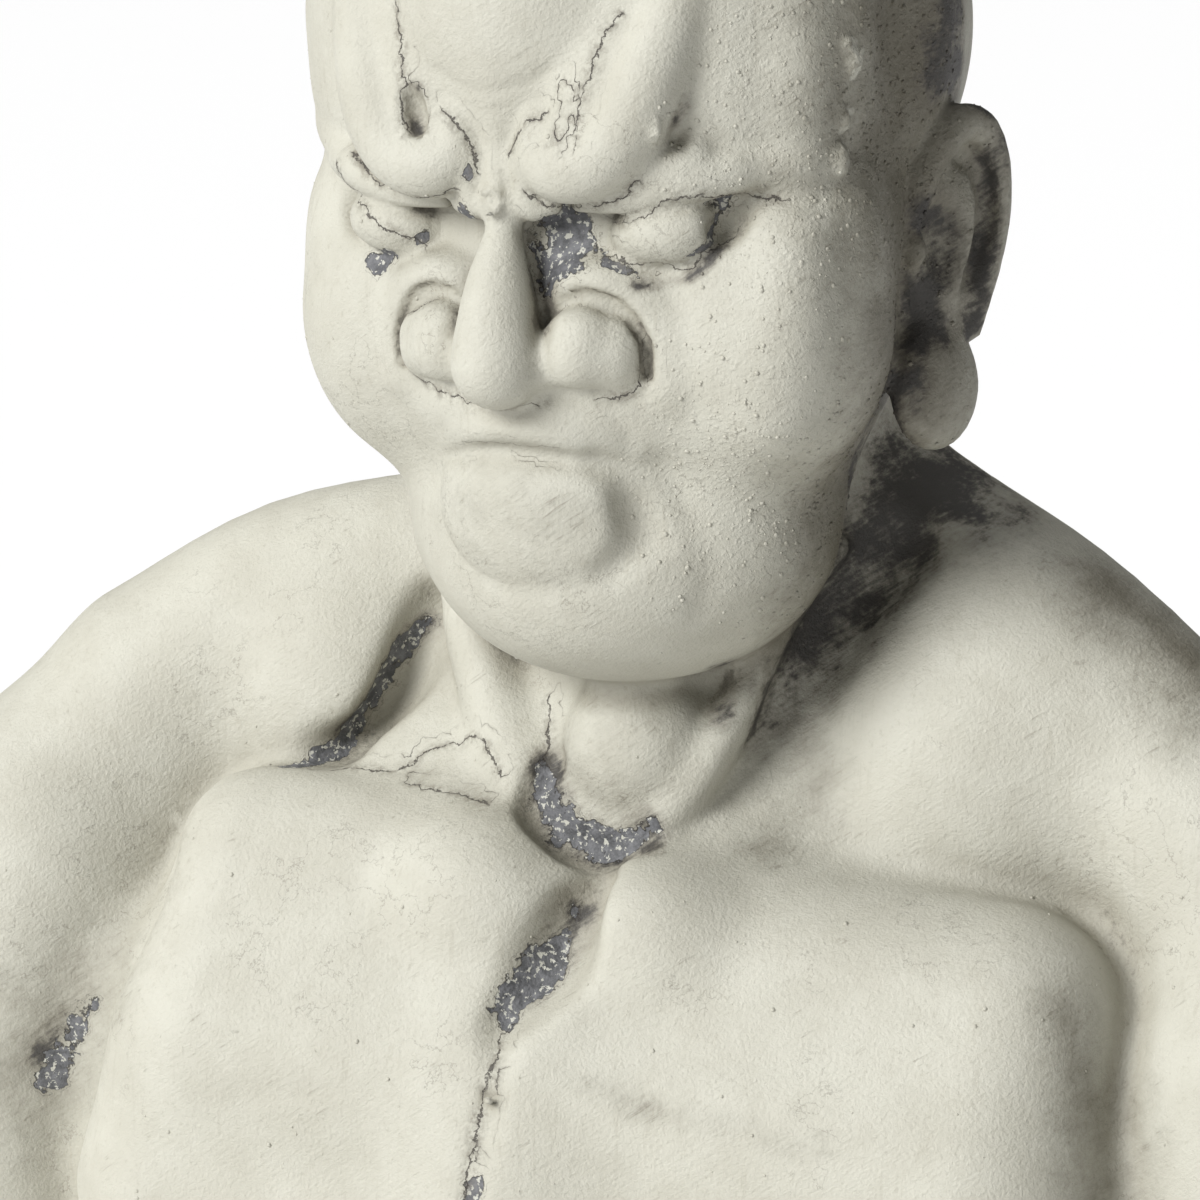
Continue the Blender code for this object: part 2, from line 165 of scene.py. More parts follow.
# %% Masses: balls, scoops and slabs
class Masses(Clay):
    """Clay that takes round masses and blocks."""

    def ball_distance(self, at, radii, tilt, pair, reach):
        """Distance to an ellipsoid. tilt is Euler degrees."""
        centre = np.array(at, np.float32)
        radii = np.array(np.broadcast_to(radii, 3), np.float32)
        size = radii.max() + reach
        index, place = self.near(centre - size, centre + size, pair)
        turn = np.array(Euler([math.radians(a) for a in tilt]).to_matrix(), np.float32)
        place = (place - centre) @ turn
        outer = np.linalg.norm(place / radii, axis=1)
        inner = np.linalg.norm(place / radii**2, axis=1)
        return index, outer * (outer - 1) / np.maximum(inner, 1e-6)

    def ball(self, at, radii, blend=6.0, tilt=(0, 0, 0), pair=False):
        index, distance = self.ball_distance(at, radii, tilt, pair, 2 * blend + 8)
        self.join(index, distance, blend)

    def scoop(self, at, radii, blend=3.0, tilt=(0, 0, 0), pair=False):
        index, distance = self.ball_distance(at, radii, tilt, pair, 2 * blend + 4)
        self.carve(index, distance, blend)

    def slab(self, at, half, rounding=10.0, blend=6.0, tilt=(0, 0, 0), pair=False):
        """Adds a block with rounded edges. half is from its centre to its faces."""
        centre = np.array(at, np.float32)
        size = float(np.linalg.norm(half)) + 2 * blend + 4
        index, place = self.near(centre - size, centre + size, pair)
        turn = np.array(Euler([math.radians(a) for a in tilt]).to_matrix(), np.float32)
        gap = np.abs((place - centre) @ turn) - (np.array(half, np.float32) - rounding)
        outside = np.linalg.norm(np.maximum(gap, 0), axis=1)
        self.join(index, outside + np.minimum(gap.max(axis=1), 0) - rounding, blend)

# %% [markdown]
# Rolls of clay, pressed grooves and fine creases follow curves. Each curve is a Catmull-Rom line through a
# few named places, with its own thickness at each place, so a fold can swell and die away as a carver would
# cut it.

# %% Sculpture: rolls, grooves and creases
class Sculpture(Masses):
    """Clay that takes rolls, grooves and creases along curves too."""

    def path_distance(self, points, reach, pair, squash=1.0):
        """Distance to a tapering tube. Below 1, squash flattens it front to back."""
        rows = smooth_path(points)
        size = rows[:, 3].max() + reach
        low, high = rows[:, :3].min(axis=0) - size, rows[:, :3].max(axis=0) + size
        index, place = self.near(low, high, pair)
        best = np.full(len(index), FAR, np.float32)
        stretch = np.array([1, 1 / squash, 1], np.float32)
        for start, end in zip(rows, rows[1:]):
            gap, share = from_segment(place, start, end)
            radius = start[3] + (end[3] - start[3]) * share
            best = np.minimum(best, np.linalg.norm(gap * stretch, axis=1) - radius)
        return index, best

    def roll(self, points, blend=3.0, pair=False, squash=1.0):
        """Lays a sausage of clay. Each row is x, y, z, radius."""
        index, distance = self.path_distance(points, 2 * blend + 4, pair, squash)
        self.join(index, distance * min(1.0, squash), blend)

    def trench(self, points, blend=1.0, pair=False):
        """Presses a rod into the clay. Each row is x, y, z, radius."""
        index, distance = self.path_distance(points, 2 * blend + 4, pair)
        self.carve(index, distance, blend)

    def line(self, points, depth, width, pair=False):
        """Sinks a soft crease along a curve, or raises one where depth is negative. Rows are x, y, z."""
        rows = [(*point, 0.0) for point in points]
        index, distance = self.path_distance(rows, 3 * width, pair)
        self.field[index] += depth * np.exp(-((distance / width) ** 2))

# %% [markdown]
# ## The skull
# The cranium is wide and bald. The cheekbones stand out under the eyes, and the jaw runs into a muzzle that
# carries the pursed mouth.

# %% Skull, cheeks and jaw
def model_skull(clay):
    """Cranium, cheeks, jaw and muzzle."""
    clay.ball((0, -5, 34), (60.5, 44, 49), blend=8)
    clay.ball((0, 14, 30), (57, 57, 53), blend=16)
    clay.ball((0, 4, -20), (50, 42, 46), blend=14)
    clay.ball((0, -8, -57.5), (43, 31, 32), blend=12)
    clay.ball((0, -22, -64), (27, 20, 19), blend=9)
    clay.ball((0, -20, -12), (36, 23, 22), blend=8)
    clay.ball((34, -17, -20), (25, 24, 30), blend=9, pair=True)
    clay.ball((45, -13, -2), (14, 17, 15), blend=8, pair=True)
    clay.ball((32, -13, 19), (20.5, 24, 15), blend=9, pair=True)
    clay.ball((0, -25, -31), (31, 23.5, 17), blend=8)

# %% [markdown]
# ## Brows and eyes
# The forehead skin hangs in a tongue between the brows. Each brow is a thick roll that comes down the
# forehead, swells, and curls in over the nose. Under it sit the half-hidden eyeball and its heavy upper
# lid.

# %% Brows, lids and eyes
def model_brows(clay):
    """Forehead tongue between two hanging brow lobes, with the lid folds under them."""
    clay.ball((0, -37, 40), (23, 17.5, 25), blend=3)
    clay.roll([(0, -42, 36, 9.5), (0, -43.6, 26, 8), (0, -46, 17.6, 4)], blend=3)
    clay.roll([(24, -39, 38, 6), (19, -43.4, 26, 7), (15, -45.4, 17, 7)], blend=3, pair=True)
    scroll = [
        (35, -31, 54, 4.5),
        (31.8, -38, 40, 6.6),
        (28.8, -42, 29, 7.4),
        (25.4, -45, 19.2, 7.4),
        (20.3, -47, 12.8, 7),
        (13.6, -48, 10.8, 6.6),
        (8.8, -47.2, 13.2, 5.6),
        (8.6, -46.6, 18.5, 4.4),
    ]
    clay.roll(scroll, blend=2, pair=True)
    clay.roll([(0, -45.5, 18, 3.2), (0, -47.3, 9, 3.6), (0, -47.4, 4.5, 3.6)], blend=2)
    clay.roll([(-9, -45.5, 4, 2.6), (0, -47.2, 4.6, 3.2), (9, -45.5, 4, 2.6)], blend=2)
    clay.ball((27.2, -36.8, -0.8), (11, 8.4, 6.8), blend=1, tilt=(0, -6, 0), pair=True)
    clay.scoop((39.5, -36, 0.5), (4, 4, 2.6), blend=2.5, tilt=(0, -30, 0), pair=True)
    clay.roll(
        [
            (13.7, -43.4, 4, 2), (20, -43.8, 4.8, 2.8), (26, -42.6, 6, 3.6), (33, -39.6, 8, 4.2),
            (39, -35, 9.6, 4.2),
        ],
        blend=1.2,
        pair=True,
    )
    clay.roll([(33, -38.8, 8.8, 4.4), (41, -33, 10, 4.4), (49, -23.6, 9, 4), (54, -14, 7, 3)], blend=2)
    clay.roll([(-33, -38.8, 8.8, 4.4), (-41, -33, 12, 4.4), (-49, -24, 15, 4), (-55, -14, 17, 3)], blend=2)

# %% [markdown]
# ## Nose and mouth
# A cone with a ball tip, two round wings, and snarling folds that arch over them. The lower lip is a smooth
# shield pushed up against a thin upper lip, which turns the mouth down.

# %% Nose and mouth
def model_nose(clay):
    """Cone of a nose with a ball tip, round wings and the snarling folds that arch over them."""
    arch = [
        (8, -40.6, -15, 3.4), (11, -42, -11.2, 4.4), (16.6, -41.8, -10, 4.8), (22.4, -39.6, -12.4, 4.8),
        (26.4, -37.6, -19, 4.8), (27.2, -37.2, -28, 4.4),
    ]
    clay.roll(arch, blend=4, pair=True)
    clay.roll(
        [
            (0, -45, 4, 3), (0, -47, -1.4, 3.8), (0, -49.4, -10.7, 6.4), (0, -50.6, -19, 8),
            (0, -50.8, -23.6, 8.8),
        ],
        blend=3,
    )
    clay.ball((13.6, -46.2, -22.2), (6.8, 6, 6.4), blend=1.6, pair=True)
    clay.ball((19.6, -42.6, -23), (5.2, 5.6, 5.8), blend=3, pair=True)
    clay.ball((7.6, -46.6, -24), (4, 4.4, 5), blend=3, pair=True)
    ring = [
        (9.4, -46.2, -17.4, 0.9), (12.2, -46, -15.4, 1.2), (16.6, -45.6, -14.8, 1),
        (21, -43.8, -16.4, 0.75), (24.4, -42, -21, 0.6), (24.8, -41.4, -26, 0.5),
    ]
    clay.trench(ring, blend=1, pair=True)


def model_mouth(clay):
    """Thin upper lip and the smooth shield of the lower lip pushed up against it."""
    clay.ball((0, -26.4, -54), (26, 20.4, 18), blend=2.4)
    clay.ball((0, -30, -47.5), (21.5, 16.8, 8.8), blend=5)
    clay.roll(
        [
            (-19, -37, -40.6, 1.2), (-9, -44.6, -37.2, 2), (0, -46.2, -36, 2.2), (9, -44.6, -37.2, 2),
            (19, -37, -40.6, 1.2),
        ],
        blend=3,
    )
    clay.line(
        [
            (-19.5, -42.5, -43.4), (-15, -45, -42), (-7, -46.6, -41), (0, -47, -41), (7, -46.6, -41.2),
            (15, -45, -42.4), (20, -42, -44.6),
        ],
        depth=0.9,
        width=0.9,
    )
    clay.trench([(21.5, -42, -46, 1.6), (23.5, -39.6, -50, 2.6), (23, -38, -56, 2.2)], blend=4)

# %% [markdown]
# ## Ears
# The ears are long-lobed, as on most temple figures. They are laid out in the plane of the ear: back from
# its front edge, up, and out from the plate.

# %% Ears
def on_ear(*rows):
    """Rows x, y, z, radius in head axes, from rows back from the ear's front edge, up, out, radius."""
    across, along = math.sin(EAR_FLARE), math.cos(EAR_FLARE)
    front_x, front_y = EAR_FRONT
    return [
        (front_x + across * back + along * out, front_y + along * back - across * out, up, radius)
        for back, up, out, radius in rows
    ]


def model_ears(clay):
    """Long-lobed ears with a broad rim, a deep groove inside it and a hollow shell."""
    clay.roll(on_ear((9, 6, -3, 6), (12, 0, -3, 7), (11, -12, -3, 7), (9, -26, -3, 6)), blend=4, pair=True)
    clay.ball(on_ear((12.5, -4, 0.5, 0))[0][:3], (4.6, 13, 18.5), blend=3, tilt=(0, 0, -17), pair=True)
    clay.ball(on_ear((8.8, -35, 1, 0))[0][:3], (5.8, 10.6, 12), blend=3, tilt=(0, 0, -17), pair=True)
    rim = on_ear(
        (2.9, -4, 2, 3), (4.5, 4.6, 3, 3.8), (8.6, 10.2, 3.8, 4.2), (14, 12.8, 4.2, 4), (19, 11, 4.4, 3.8),
        (21.8, 4.6, 4.8, 3.4), (22, -3.7, 4.8, 3.2), (20.6, -12, 4.2, 3), (18.6, -20, 3, 2.8),
        (17.6, -25, 2, 2.6),
    )
    clay.roll(rim, blend=1.5, pair=True)
    clay.roll(on_ear((15, -18, 0.5, 3), (13.6, -25, 0.5, 3.6)), blend=2, pair=True)
    shell = on_ear(
        (15.4, 4, 3.4, 1.4), (15.8, -2, 4, 1.9), (15, -8, 4, 1.9), (12, -15, 3.4, 2), (9, -21, 2.6, 2)
    )
    clay.roll(shell, blend=2, pair=True)
    clay.scoop(on_ear((7.6, -8, 5.4, 0))[0][:3], (3.6, 4.6, 8), blend=1.5, tilt=(0, 0, -17), pair=True)
    groove = on_ear(
        (13, 6.6, 5, 1.6), (17.2, 4.4, 5.2, 2), (18.6, -2, 5.4, 2), (17.6, -9, 5, 1.9),
        (14.6, -16, 4.2, 1.5),
    )
    clay.trench(groove, blend=1, pair=True)
    clay.ball(on_ear((1.9, -9, 3, 0))[0][:3], (2.8, 2.6, 3.6), blend=1.5, pair=True)
    clay.trench(on_ear((4.4, -14, 4.4, 1.6), (6, -20, 4.6, 1.8), (5, -25, 4.4, 1)), blend=1, pair=True)

# %% [markdown]
# ## Neck, shoulders and chest
# The trunk is one set of masses that leans with the shoulders. Two cords run from the jaw to the throat
# notch. The chest muscles are carved as flat slabs with a furrow between them, the way the block was first
# squared.

# %% Torso
def model_torso(clay):
    """Neck, shoulders and chest, in axes that lean with the shoulders: origin at the throat notch."""
    # Trunk, back and neck.
    clay.ball((0, 44, -60), (96, 60, 84), blend=14)
    clay.ball((0, 46, -24), (126, 30, 48), blend=14)
    clay.ball((66, 46, -80), (44, 48, 76), blend=16)
    clay.ball((-64, 44, -84), (42, 48, 72), blend=16)
    clay.roll([(0, 46, -15, 38), (2, 44, 80, 28)], blend=10)
    # Traps that run out to the shoulders, the left one raised, and the blades of the back.
    clay.ball((34, 66, 16), (64, 30, 42), blend=16, tilt=(0, 24, 0))
    clay.ball((-38, 64, 2), (64, 30, 40), blend=16, tilt=(0, -20, 0))
    clay.roll([(16, 58, 66, 18), (44, 53, 53, 21), (72, 48, 41, 22), (112, 40, 13, 26)], blend=16)
    clay.roll([(-20, 58, 50, 18), (-50, 53, 33, 22), (-80, 48, 19, 24), (-104, 40, -2, 25)], blend=16)
    clay.ball((62, 80, -26), (34, 20, 38), blend=14, tilt=(0, 14, 0))
    clay.ball((-62, 78, -40), (34, 20, 38), blend=14, tilt=(0, -14, 0))
    clay.ball((-66, 34, 8), (18, 16, 20), blend=12)
    clay.ball((60, 38, 22), (32, 24, 36), blend=12)
    clay.line([(3, 92, 46), (0, 99, 10), (0, 104, -40), (0, 104, -96)], depth=3.5, width=8)
    # Cords of the neck and the lump of the throat.
    clay.roll(
        [
            (32, 27, 56, 5), (24.4, 19.5, 39, 5.4), (21, 15, 26, 5.4), (16.6, 11, 15, 5.4),
            (11.6, 7, 4, 4.6),
        ],
        blend=3,
    )
    clay.roll([(-40, 30, 34, 8), (-28, 20, 16, 7), (-13, 8, 0, 5)], blend=5)
    clay.ball((3, 13, 16), (14.5, 12.5, 16), blend=3)
    clay.trench([(-47, 30, 30, 3), (-51, 27, 14, 4), (-57, 21, 2, 3), (-66, 8, -2, 2)], blend=6)
    clay.trench(
        [(42, 30, 60, 5), (34.5, 25, 47, 5), (31, 19, 34, 4.4), (28.8, 14, 23, 3.6), (26, 10, 12, 2)],
        blend=6,
    )
    # Shoulders and upper arms.
    clay.ball((133, 36, -26), (36, 42, 46), blend=12)
    clay.ball((-118, 34, -44), (35, 40, 44), blend=14)
    clay.roll([(134, 32, -36, 34), (138, 28, -140, 34)], blend=10)
    clay.roll([(-121, 30, -50, 33), (-126, 26, -140, 33)], blend=10)
    # Chest slabs, with a pit between their upper corners and a furrow down the middle.
    clay.slab((52, 8, -34), (53, 26, 36), rounding=24, blend=6, tilt=(-24, -2.5, 0))
    clay.slab((-42, 8, -38), (42, 26, 36), rounding=20, blend=5, tilt=(-24, -5, 0))
    clay.slab((58, 7, -68), (52, 28, 38), rounding=26, blend=14, tilt=(-16, 0, 0))
    clay.slab((-48, 7, -70), (44, 28, 38), rounding=24, blend=14, tilt=(-16, -4, 0))
    clay.ball((0, 4, -60), (30, 32, 46), blend=10)
    clay.ball((16, -2, -15), (16, 13, 13), blend=9)
    clay.ball((-17, -3, -15), (17, 13, 13), blend=9)
    clay.trench(
        [
            (-12, 9, 11, 1.2), (-13, 5, 4, 2.6), (-9, 2, 0, 3.6), (-1, 0.6, -2.4, 3.8), (7, 1, -1, 2.6),
            (10, 3, 2, 1),
        ],
        blend=3,
    )
    clay.trench(
        [(6, -5, -8, 2), (4, -9, -13, 4), (2, -14, -20, 5), (-1, -18, -27, 4), (-4, -21, -33, 1.6)],
        blend=6,
    )
    clay.line(
        [(-4, -20, -32), (-3, -25, -39), (-2, -28, -48), (-3, -29, -60), (-4, -29, -76)],
        depth=1.6,
        width=2.6,
    )
    clay.trench([(-80, 8, -14, 2), (-86, -6, -34, 4), (-91, -8, -56, 5), (-96, -4, -84, 5)], blend=6)

# %% [markdown]
# ## Fine relief
# Everything so far is also in the solid. What follows is a millimetre or two high or deep, and a little
# more at the temple: wrinkles on the forehead tongue, drops of paint that stand up, the ringed bead between
# the brows, a wart, chips, and the creases where one form was cut against the next.

# %% Relief on the face
def relief_head(clay):
    """Wrinkles, drops, the bead between the brows, chips, creases, and fuller temple and nose wings."""
    # Wrinkles of the forehead tongue, and drops of paint down the edge of the temple.
    wrinkle = [(-11, -50, 27.6), (-6, -51.4, 25), (0, -52, 24), (7, -51, 25), (12, -49.4, 28)]
    clay.line(wrinkle, depth=1.1, width=0.9)
    clay.line([(-6, -51, 22), (0, -51.2, 20.8), (6, -50.8, 22)], depth=0.9, width=0.8)
    clay.line([(-9, -49, 34), (0, -51, 32), (10, -49, 34.5)], depth=0.3, width=1.4)
    drops = ((56.6, -22.6, 30.6, 1.3), (57, -21.4, 27.4, 1.8), (55.6, -22, 17.4, 1.3), (54.8, -23, 10.4, 2))
    for *at, size in drops:
        clay.ball(at, (size, size, 1.6 * size), blend=0.8)
    # The ringed bead between the brows, and the folds beside it.
    round_it = np.linspace(0, 2 * math.pi, 13)
    hoop = [(2.2 * math.cos(a), -51.3, 4.9 + 2.2 * math.sin(a), 0.9) for a in round_it]
    clay.roll(hoop, blend=0.4)
    clay.ball((0, -51.4, 4.9), 1, blend=0.3)
    clay.roll([(4.2, -48.6, 13, 2), (5.6, -48, 8, 2.6), (6, -46.4, 3, 2.4)], blend=1.5, pair=True)
    # Fuller wings of the nose, with a groove round them.
    clay.ball((14, -45.2, -19), (7, 6, 5.8), blend=1.2, pair=True)
    clay.ball((19.6, -42.8, -20), (5, 5, 5), blend=1.5, pair=True)
    groove = [
        (8.4, -46.8, -15.6, 0.7), (11.6, -46.4, -12.6, 0.9), (16.6, -45.8, -11.8, 0.9),
        (21.6, -44, -14, 0.8), (25, -42.2, -20, 0.7), (25.4, -41.8, -26, 0.5),
    ]
    clay.trench(groove, blend=0.5, pair=True)
    # Chips on the brows, a wart, and the fold over the left eye.
    clay.scoop((-15.2, -51.4, 20.6), (1.9, 3, 4.6), blend=0.7, tilt=(0, -16, 0))
    clay.scoop((17.2, -53.6, 16), (1.3, 0.9, 2.2), blend=0.5, tilt=(0, 24, 0))
    clay.roll([(26, -43.5, 9, 2.6), (30, -42.5, 11, 3), (35, -40, 13, 2.6)], blend=3)
    clay.ball((32, -47.8, 17.6), (1.6, 1.2, 2.6), blend=0.8, tilt=(0, 14, 0))
    # The corner of the left temple and cheek, and the hollow side of the head behind it.
    temple = [
        (30, -17, 70, 7), (39.5, -21, 58, 8), (45, -23.6, 44, 8), (46.5, -24.8, 28, 8), (46.5, -24.8, 12, 7),
    ]
    clay.roll(temple, blend=4)
    clay.roll([(47, -28, -4, 7), (46, -29.6, -18, 8), (42.6, -28.4, -32, 8)], blend=5)
    clay.scoop((71, -6, 24), (15, 15, 46), blend=5)
    # Between the lips, round the shield of the lower lip, and from the nose to the corner of the mouth.
    mouth = [(-17.6, -42, -43), (-8, -45, -40.6), (0.7, -45.5, -40.9), (8.2, -44.4, -42), (15, -42, -42.5)]
    clay.line(mouth, depth=1, width=0.9)
    shield = [
        (-15.2, -41.8, -42.4), (-21.6, -37, -44.9), (-24, -34.8, -50), (-21.6, -37.4, -56.5),
        (-15, -40.6, -63), (-6.5, -42.3, -66.2),
    ]
    clay.line(shield, depth=1.4, width=0.9)
    under = [(-6.5, -42.3, -66.2), (0.1, -42.8, -66.3), (8.1, -42.3, -65.1), (16.2, -40.1, -62.6)]
    clay.line(under, depth=0.7, width=2.4)
    hollow = [
        (15, -43, -42, 1.4), (19, -41, -45, 2.6), (21, -39.4, -51, 3.8), (20.4, -40, -57, 3.2),
        (16, -41.6, -62.4, 1.6),
    ]
    clay.trench(hollow, blend=3)
    fold = [(8.5, -49.1, -29.6), (13.9, -46.2, -31.4), (18, -44, -33), (20.6, -41.8, -37), (19.6, -40, -42)]
    clay.line(fold, depth=1, width=1.6)
    clay.line([(24, -36, -44), (28, -33, -53), (31, -31, -62), (28, -30, -72)], depth=0.8, width=3)

# %% [markdown]
# The chest was left plainer. It has a small lump in the furrow, a shallow seam across both slabs, and a
# sharp crease down the bottom of the furrow.

# %% Relief on the chest
def relief_torso(clay):
    """The small lump in the furrow, the shallow seam across the chest slabs, and the furrow's crease."""
    clay.ball((-2.4, -26.6, -46), (1.8, 1.6, 1.8), blend=0.6)
    seam = [(-52, -24, -58), (-39, -26, -55), (-15, -29, -47), (4, -30, -44), (20, -29, -42), (48, -23, -37)]
    clay.line(seam, depth=0.5, width=2)
    furrow = [
        (-6, -17, -31), (-4.4, -20.6, -34), (-3, -24, -39), (-2.6, -26, -46), (-3.4, -27, -56),
        (-4, -28, -76),
    ]
    clay.line(furrow, depth=1.1, width=0.8)

# %% [markdown]
# ## From field to skin
# The head turns and nods on the trunk, so each has its own axes. The two fields are joined under the jaw.
# Sampling first at the middle of each block of cells shows which blocks hold skin, and only those are
# sampled finely. That is what keeps a grid of this fineness to well under a minute.

# %% The whole figure
def head_axes():
    turned = Matrix.Rotation(math.radians(-HEAD_TURN), 3, "Z")
    return turned @ Matrix.Rotation(math.radians(HEAD_NOD), 3, "X")


def torso_axes():
    return Euler((0, math.radians(TORSO_LEAN), 0)).to_matrix()


def figure(points):
    """Signed distance of the whole figure at points, in its own millimetres, from the throat notch."""
    torso = Sculpture(points)
    torso.work_in((0, 0, 0), torso_axes())
    model_torso(torso)
    relief_torso(torso)
    head = Sculpture(points)
    head.work_in(HEAD_CENTRE, head_axes())
    for model in (model_skull, model_brows, model_nose, model_mouth, model_ears, relief_head):
        model(head)
    torso.join(slice(None), head.field, JAW_FILLET)
    return torso.field + INSET


def sample(low, high, step):
    """The figure's distances on a grid. Only the blocks near its skin are sampled finely."""
    counts = np.ceil((np.array(high) - low) / (step * BLOCK)).astype(int)
    corner = np.array(low, np.float32)
    middles = (np.indices(counts).reshape(3, -1).T + 0.5 - 0.5 / BLOCK) * step * BLOCK + corner
    coarse = figure(middles.astype(np.float32))
    dense = np.repeat(coarse, BLOCK**3).reshape(*counts, BLOCK, BLOCK, BLOCK)
    close = np.flatnonzero(np.abs(coarse) < step * BLOCK * NEAR_BLOCKS)
    inner = np.indices((BLOCK,) * 3).reshape(3, -1).T
    starts = np.stack(np.unravel_index(close, counts), axis=1) * BLOCK
    fine = (starts[:, None] + inner[None]).reshape(-1, 3) * step + corner
    dense.reshape(len(coarse), -1)[close] = figure(fine.astype(np.float32)).reshape(len(close), -1)
    return dense.transpose(0, 3, 1, 4, 2, 5).reshape(counts * BLOCK)


def skin(low, high, step):
    """Points, in the figure's millimetres, and faces of the figure's skin."""
    grid = openvdb.FloatGrid(FAR)
    grid.copyFromArray(np.ascontiguousarray(sample(low, high, step), np.float32))
    points, quads = grid.convertToQuads()
    return points * step + np.array(low), quads[:, ::-1]

# %% [markdown]
# The skin lies where the distance is zero. It comes out in quads of nearly one size all over.

# %% Skin the field
points, quads = skin(LOW, HIGH, GRID_STEP)
print("Skin before thinning:", len(points), "points,", len(quads), "quads")

# %% [markdown]
# ## Thinning and the flat cut
# The face is what is looked at, so it is thinned the least, while the back and the lower chest are thinned
# hard. A vertex group tells the decimator how hard. The bust is then cut flat, as it stands.

# %% Mesh, thinning and cut
WEIGHT_LEVELS = 20
WEIGHT_PULL = 3.0
THINNED_ALL_OVER, THINNED_BEHIND, THINNED_LOW = 0.08, 0.5, 0.42


def to_metres(points):
    return points * METRES_PER_UNIT + np.array([0, 0, NOTCH_HEIGHT])


def to_units(places):
    return ((places - np.array([0, 0, NOTCH_HEIGHT])) / METRES_PER_UNIT).astype(np.float32)


def thin(piece, triangles, weight):
    """Collapses edges until the piece has so many triangles. Vertices of weight 1 go first."""
    group = piece.vertex_groups.new(name="thin")
    levels = np.round(weight * WEIGHT_LEVELS).astype(int)
    for level in range(1, WEIGHT_LEVELS + 1):
        members = np.flatnonzero(levels == level).tolist()
        group.add(members, level / WEIGHT_LEVELS, "REPLACE")
    decimate = piece.modifiers.new("thin", "DECIMATE")
    decimate.ratio = triangles / (2 * len(piece.data.polygons))
    decimate.vertex_group = "thin"
    decimate.vertex_group_factor = WEIGHT_PULL
    evaluated = piece.evaluated_get(bpy.context.evaluated_depsgraph_get())
    mesh = bpy.data.meshes.new_from_object(evaluated)
    piece.modifiers.clear()
    piece.vertex_groups.clear()
    piece.data = mesh


def drop_folds(work):
    """Removes pairs of faces that thinning has folded flat against each other in a tight crease."""
    while True:
        seen = {}
        for face in work.faces:
            seen.setdefault(frozenset(corner.index for corner in face.verts), []).append(face)
        folded = [face for group in seen.values() if len(group) > 1 for face in group]
        if not folded:
            return
        bmesh.ops.delete(work, geom=folded, context="FACES")
        work.verts.index_update()


def cut_flat(mesh):
    """Cuts the mesh on Z = 0 and closes it with a flat, sharp-edged underside."""
    work = bmesh.new()
    work.from_mesh(mesh)
    drop_folds(work)
    parts = work.verts[:] + work.edges[:] + work.faces[:]
    bmesh.ops.bisect_plane(work, geom=parts, plane_co=(0, 0, 0), plane_no=(0, 0, 1), clear_inner=True)
    for face in work.faces:
        face.smooth = True
    rim = [edge for edge in work.edges if edge.is_boundary]
    cap = bmesh.ops.holes_fill(work, edges=rim, sides=0)["faces"]
    for edge in rim:
        edge.smooth = False
    for face in cap:
        face.smooth = False
    bmesh.ops.triangulate(work, faces=work.faces[:])
    bmesh.ops.recalc_face_normals(work, faces=work.faces[:])
    work.to_mesh(mesh)
    work.free()


mesh = bpy.data.meshes.new("bust")
mesh.from_pydata(to_metres(points).tolist(), [], quads.tolist())
bust = bpy.data.objects.new("bust", mesh)
bpy.context.scene.collection.objects.link(bust)
# Each share grows from 0 to 1 over 60 mm, towards the back and down from the neck.
behind = np.clip((points[:, 1] + 10) / 60, 0, 1)
low_down = np.clip((40 - points[:, 2]) / 60, 0, 1)
thin(bust, TRIANGLES, np.clip(THINNED_ALL_OVER + THINNED_BEHIND * behind + THINNED_LOW * low_down, 0, 1))
cut_flat(bust.data)
bust.data.validate()
print("Bust:", len(bust.data.polygons), "triangles")

# %% [markdown]
# ## Where the paint has gone
# The off-white paint was wiped on over the grey casting, so it is missing where a cloth can't reach: beside
# the nose, under the brows, round the eyes and in the grooves of the neck. Those places are named here as
# soft paths, x, y, z and half width. Each vertex gets a value that falls through 0.5 at the edge of the
# bare place, and the finish breaks that edge up with noise.

# %% Bare places
BARE_HEAD = [
    [(8.5, -43, 2, 3.2), (9.8, -42.4, -3.5, 5), (8.4, -44, -9, 3)],
    [(-6.7, -47, 4, 2), (-7.4, -46, -1, 1.8)],
    [
        (15.6, -42.6, 0, 1.2), (17.6, -42.8, -4, 1.7), (19.5, -43.7, -6, 1.2), (24.8, -42.5, -8.2, 0.8),
        (29, -41.6, -7.8, 0.9),
    ],
    [
        (28, -41, 4.4, 0.7), (34, -38, 5, 1.2), (38, -35, 4, 1.8), (37.4, -34.7, 0.5, 1.5),
        (35, -39, -4, 1.1), (32, -40.4, -6.6, 0.6),
    ],
    [(-28, -41, -6.6, 1.6), (-32, -39, -8.6, 2.2)],
    [(-18, -42.6, -2, 1.2), (-21, -42, -4, 1.2)],
    [(-4.6, -49.5, 14, 0.8), (-5, -50, 9, 1)],
    [(10, -45.6, -17, 1.2), (13, -45, -15.4, 1.6), (16, -44.6, -14.8, 1)],
    [(-21, -43.4, -16.6, 0.9), (-16, -44.6, -14.6, 0.8)],
]
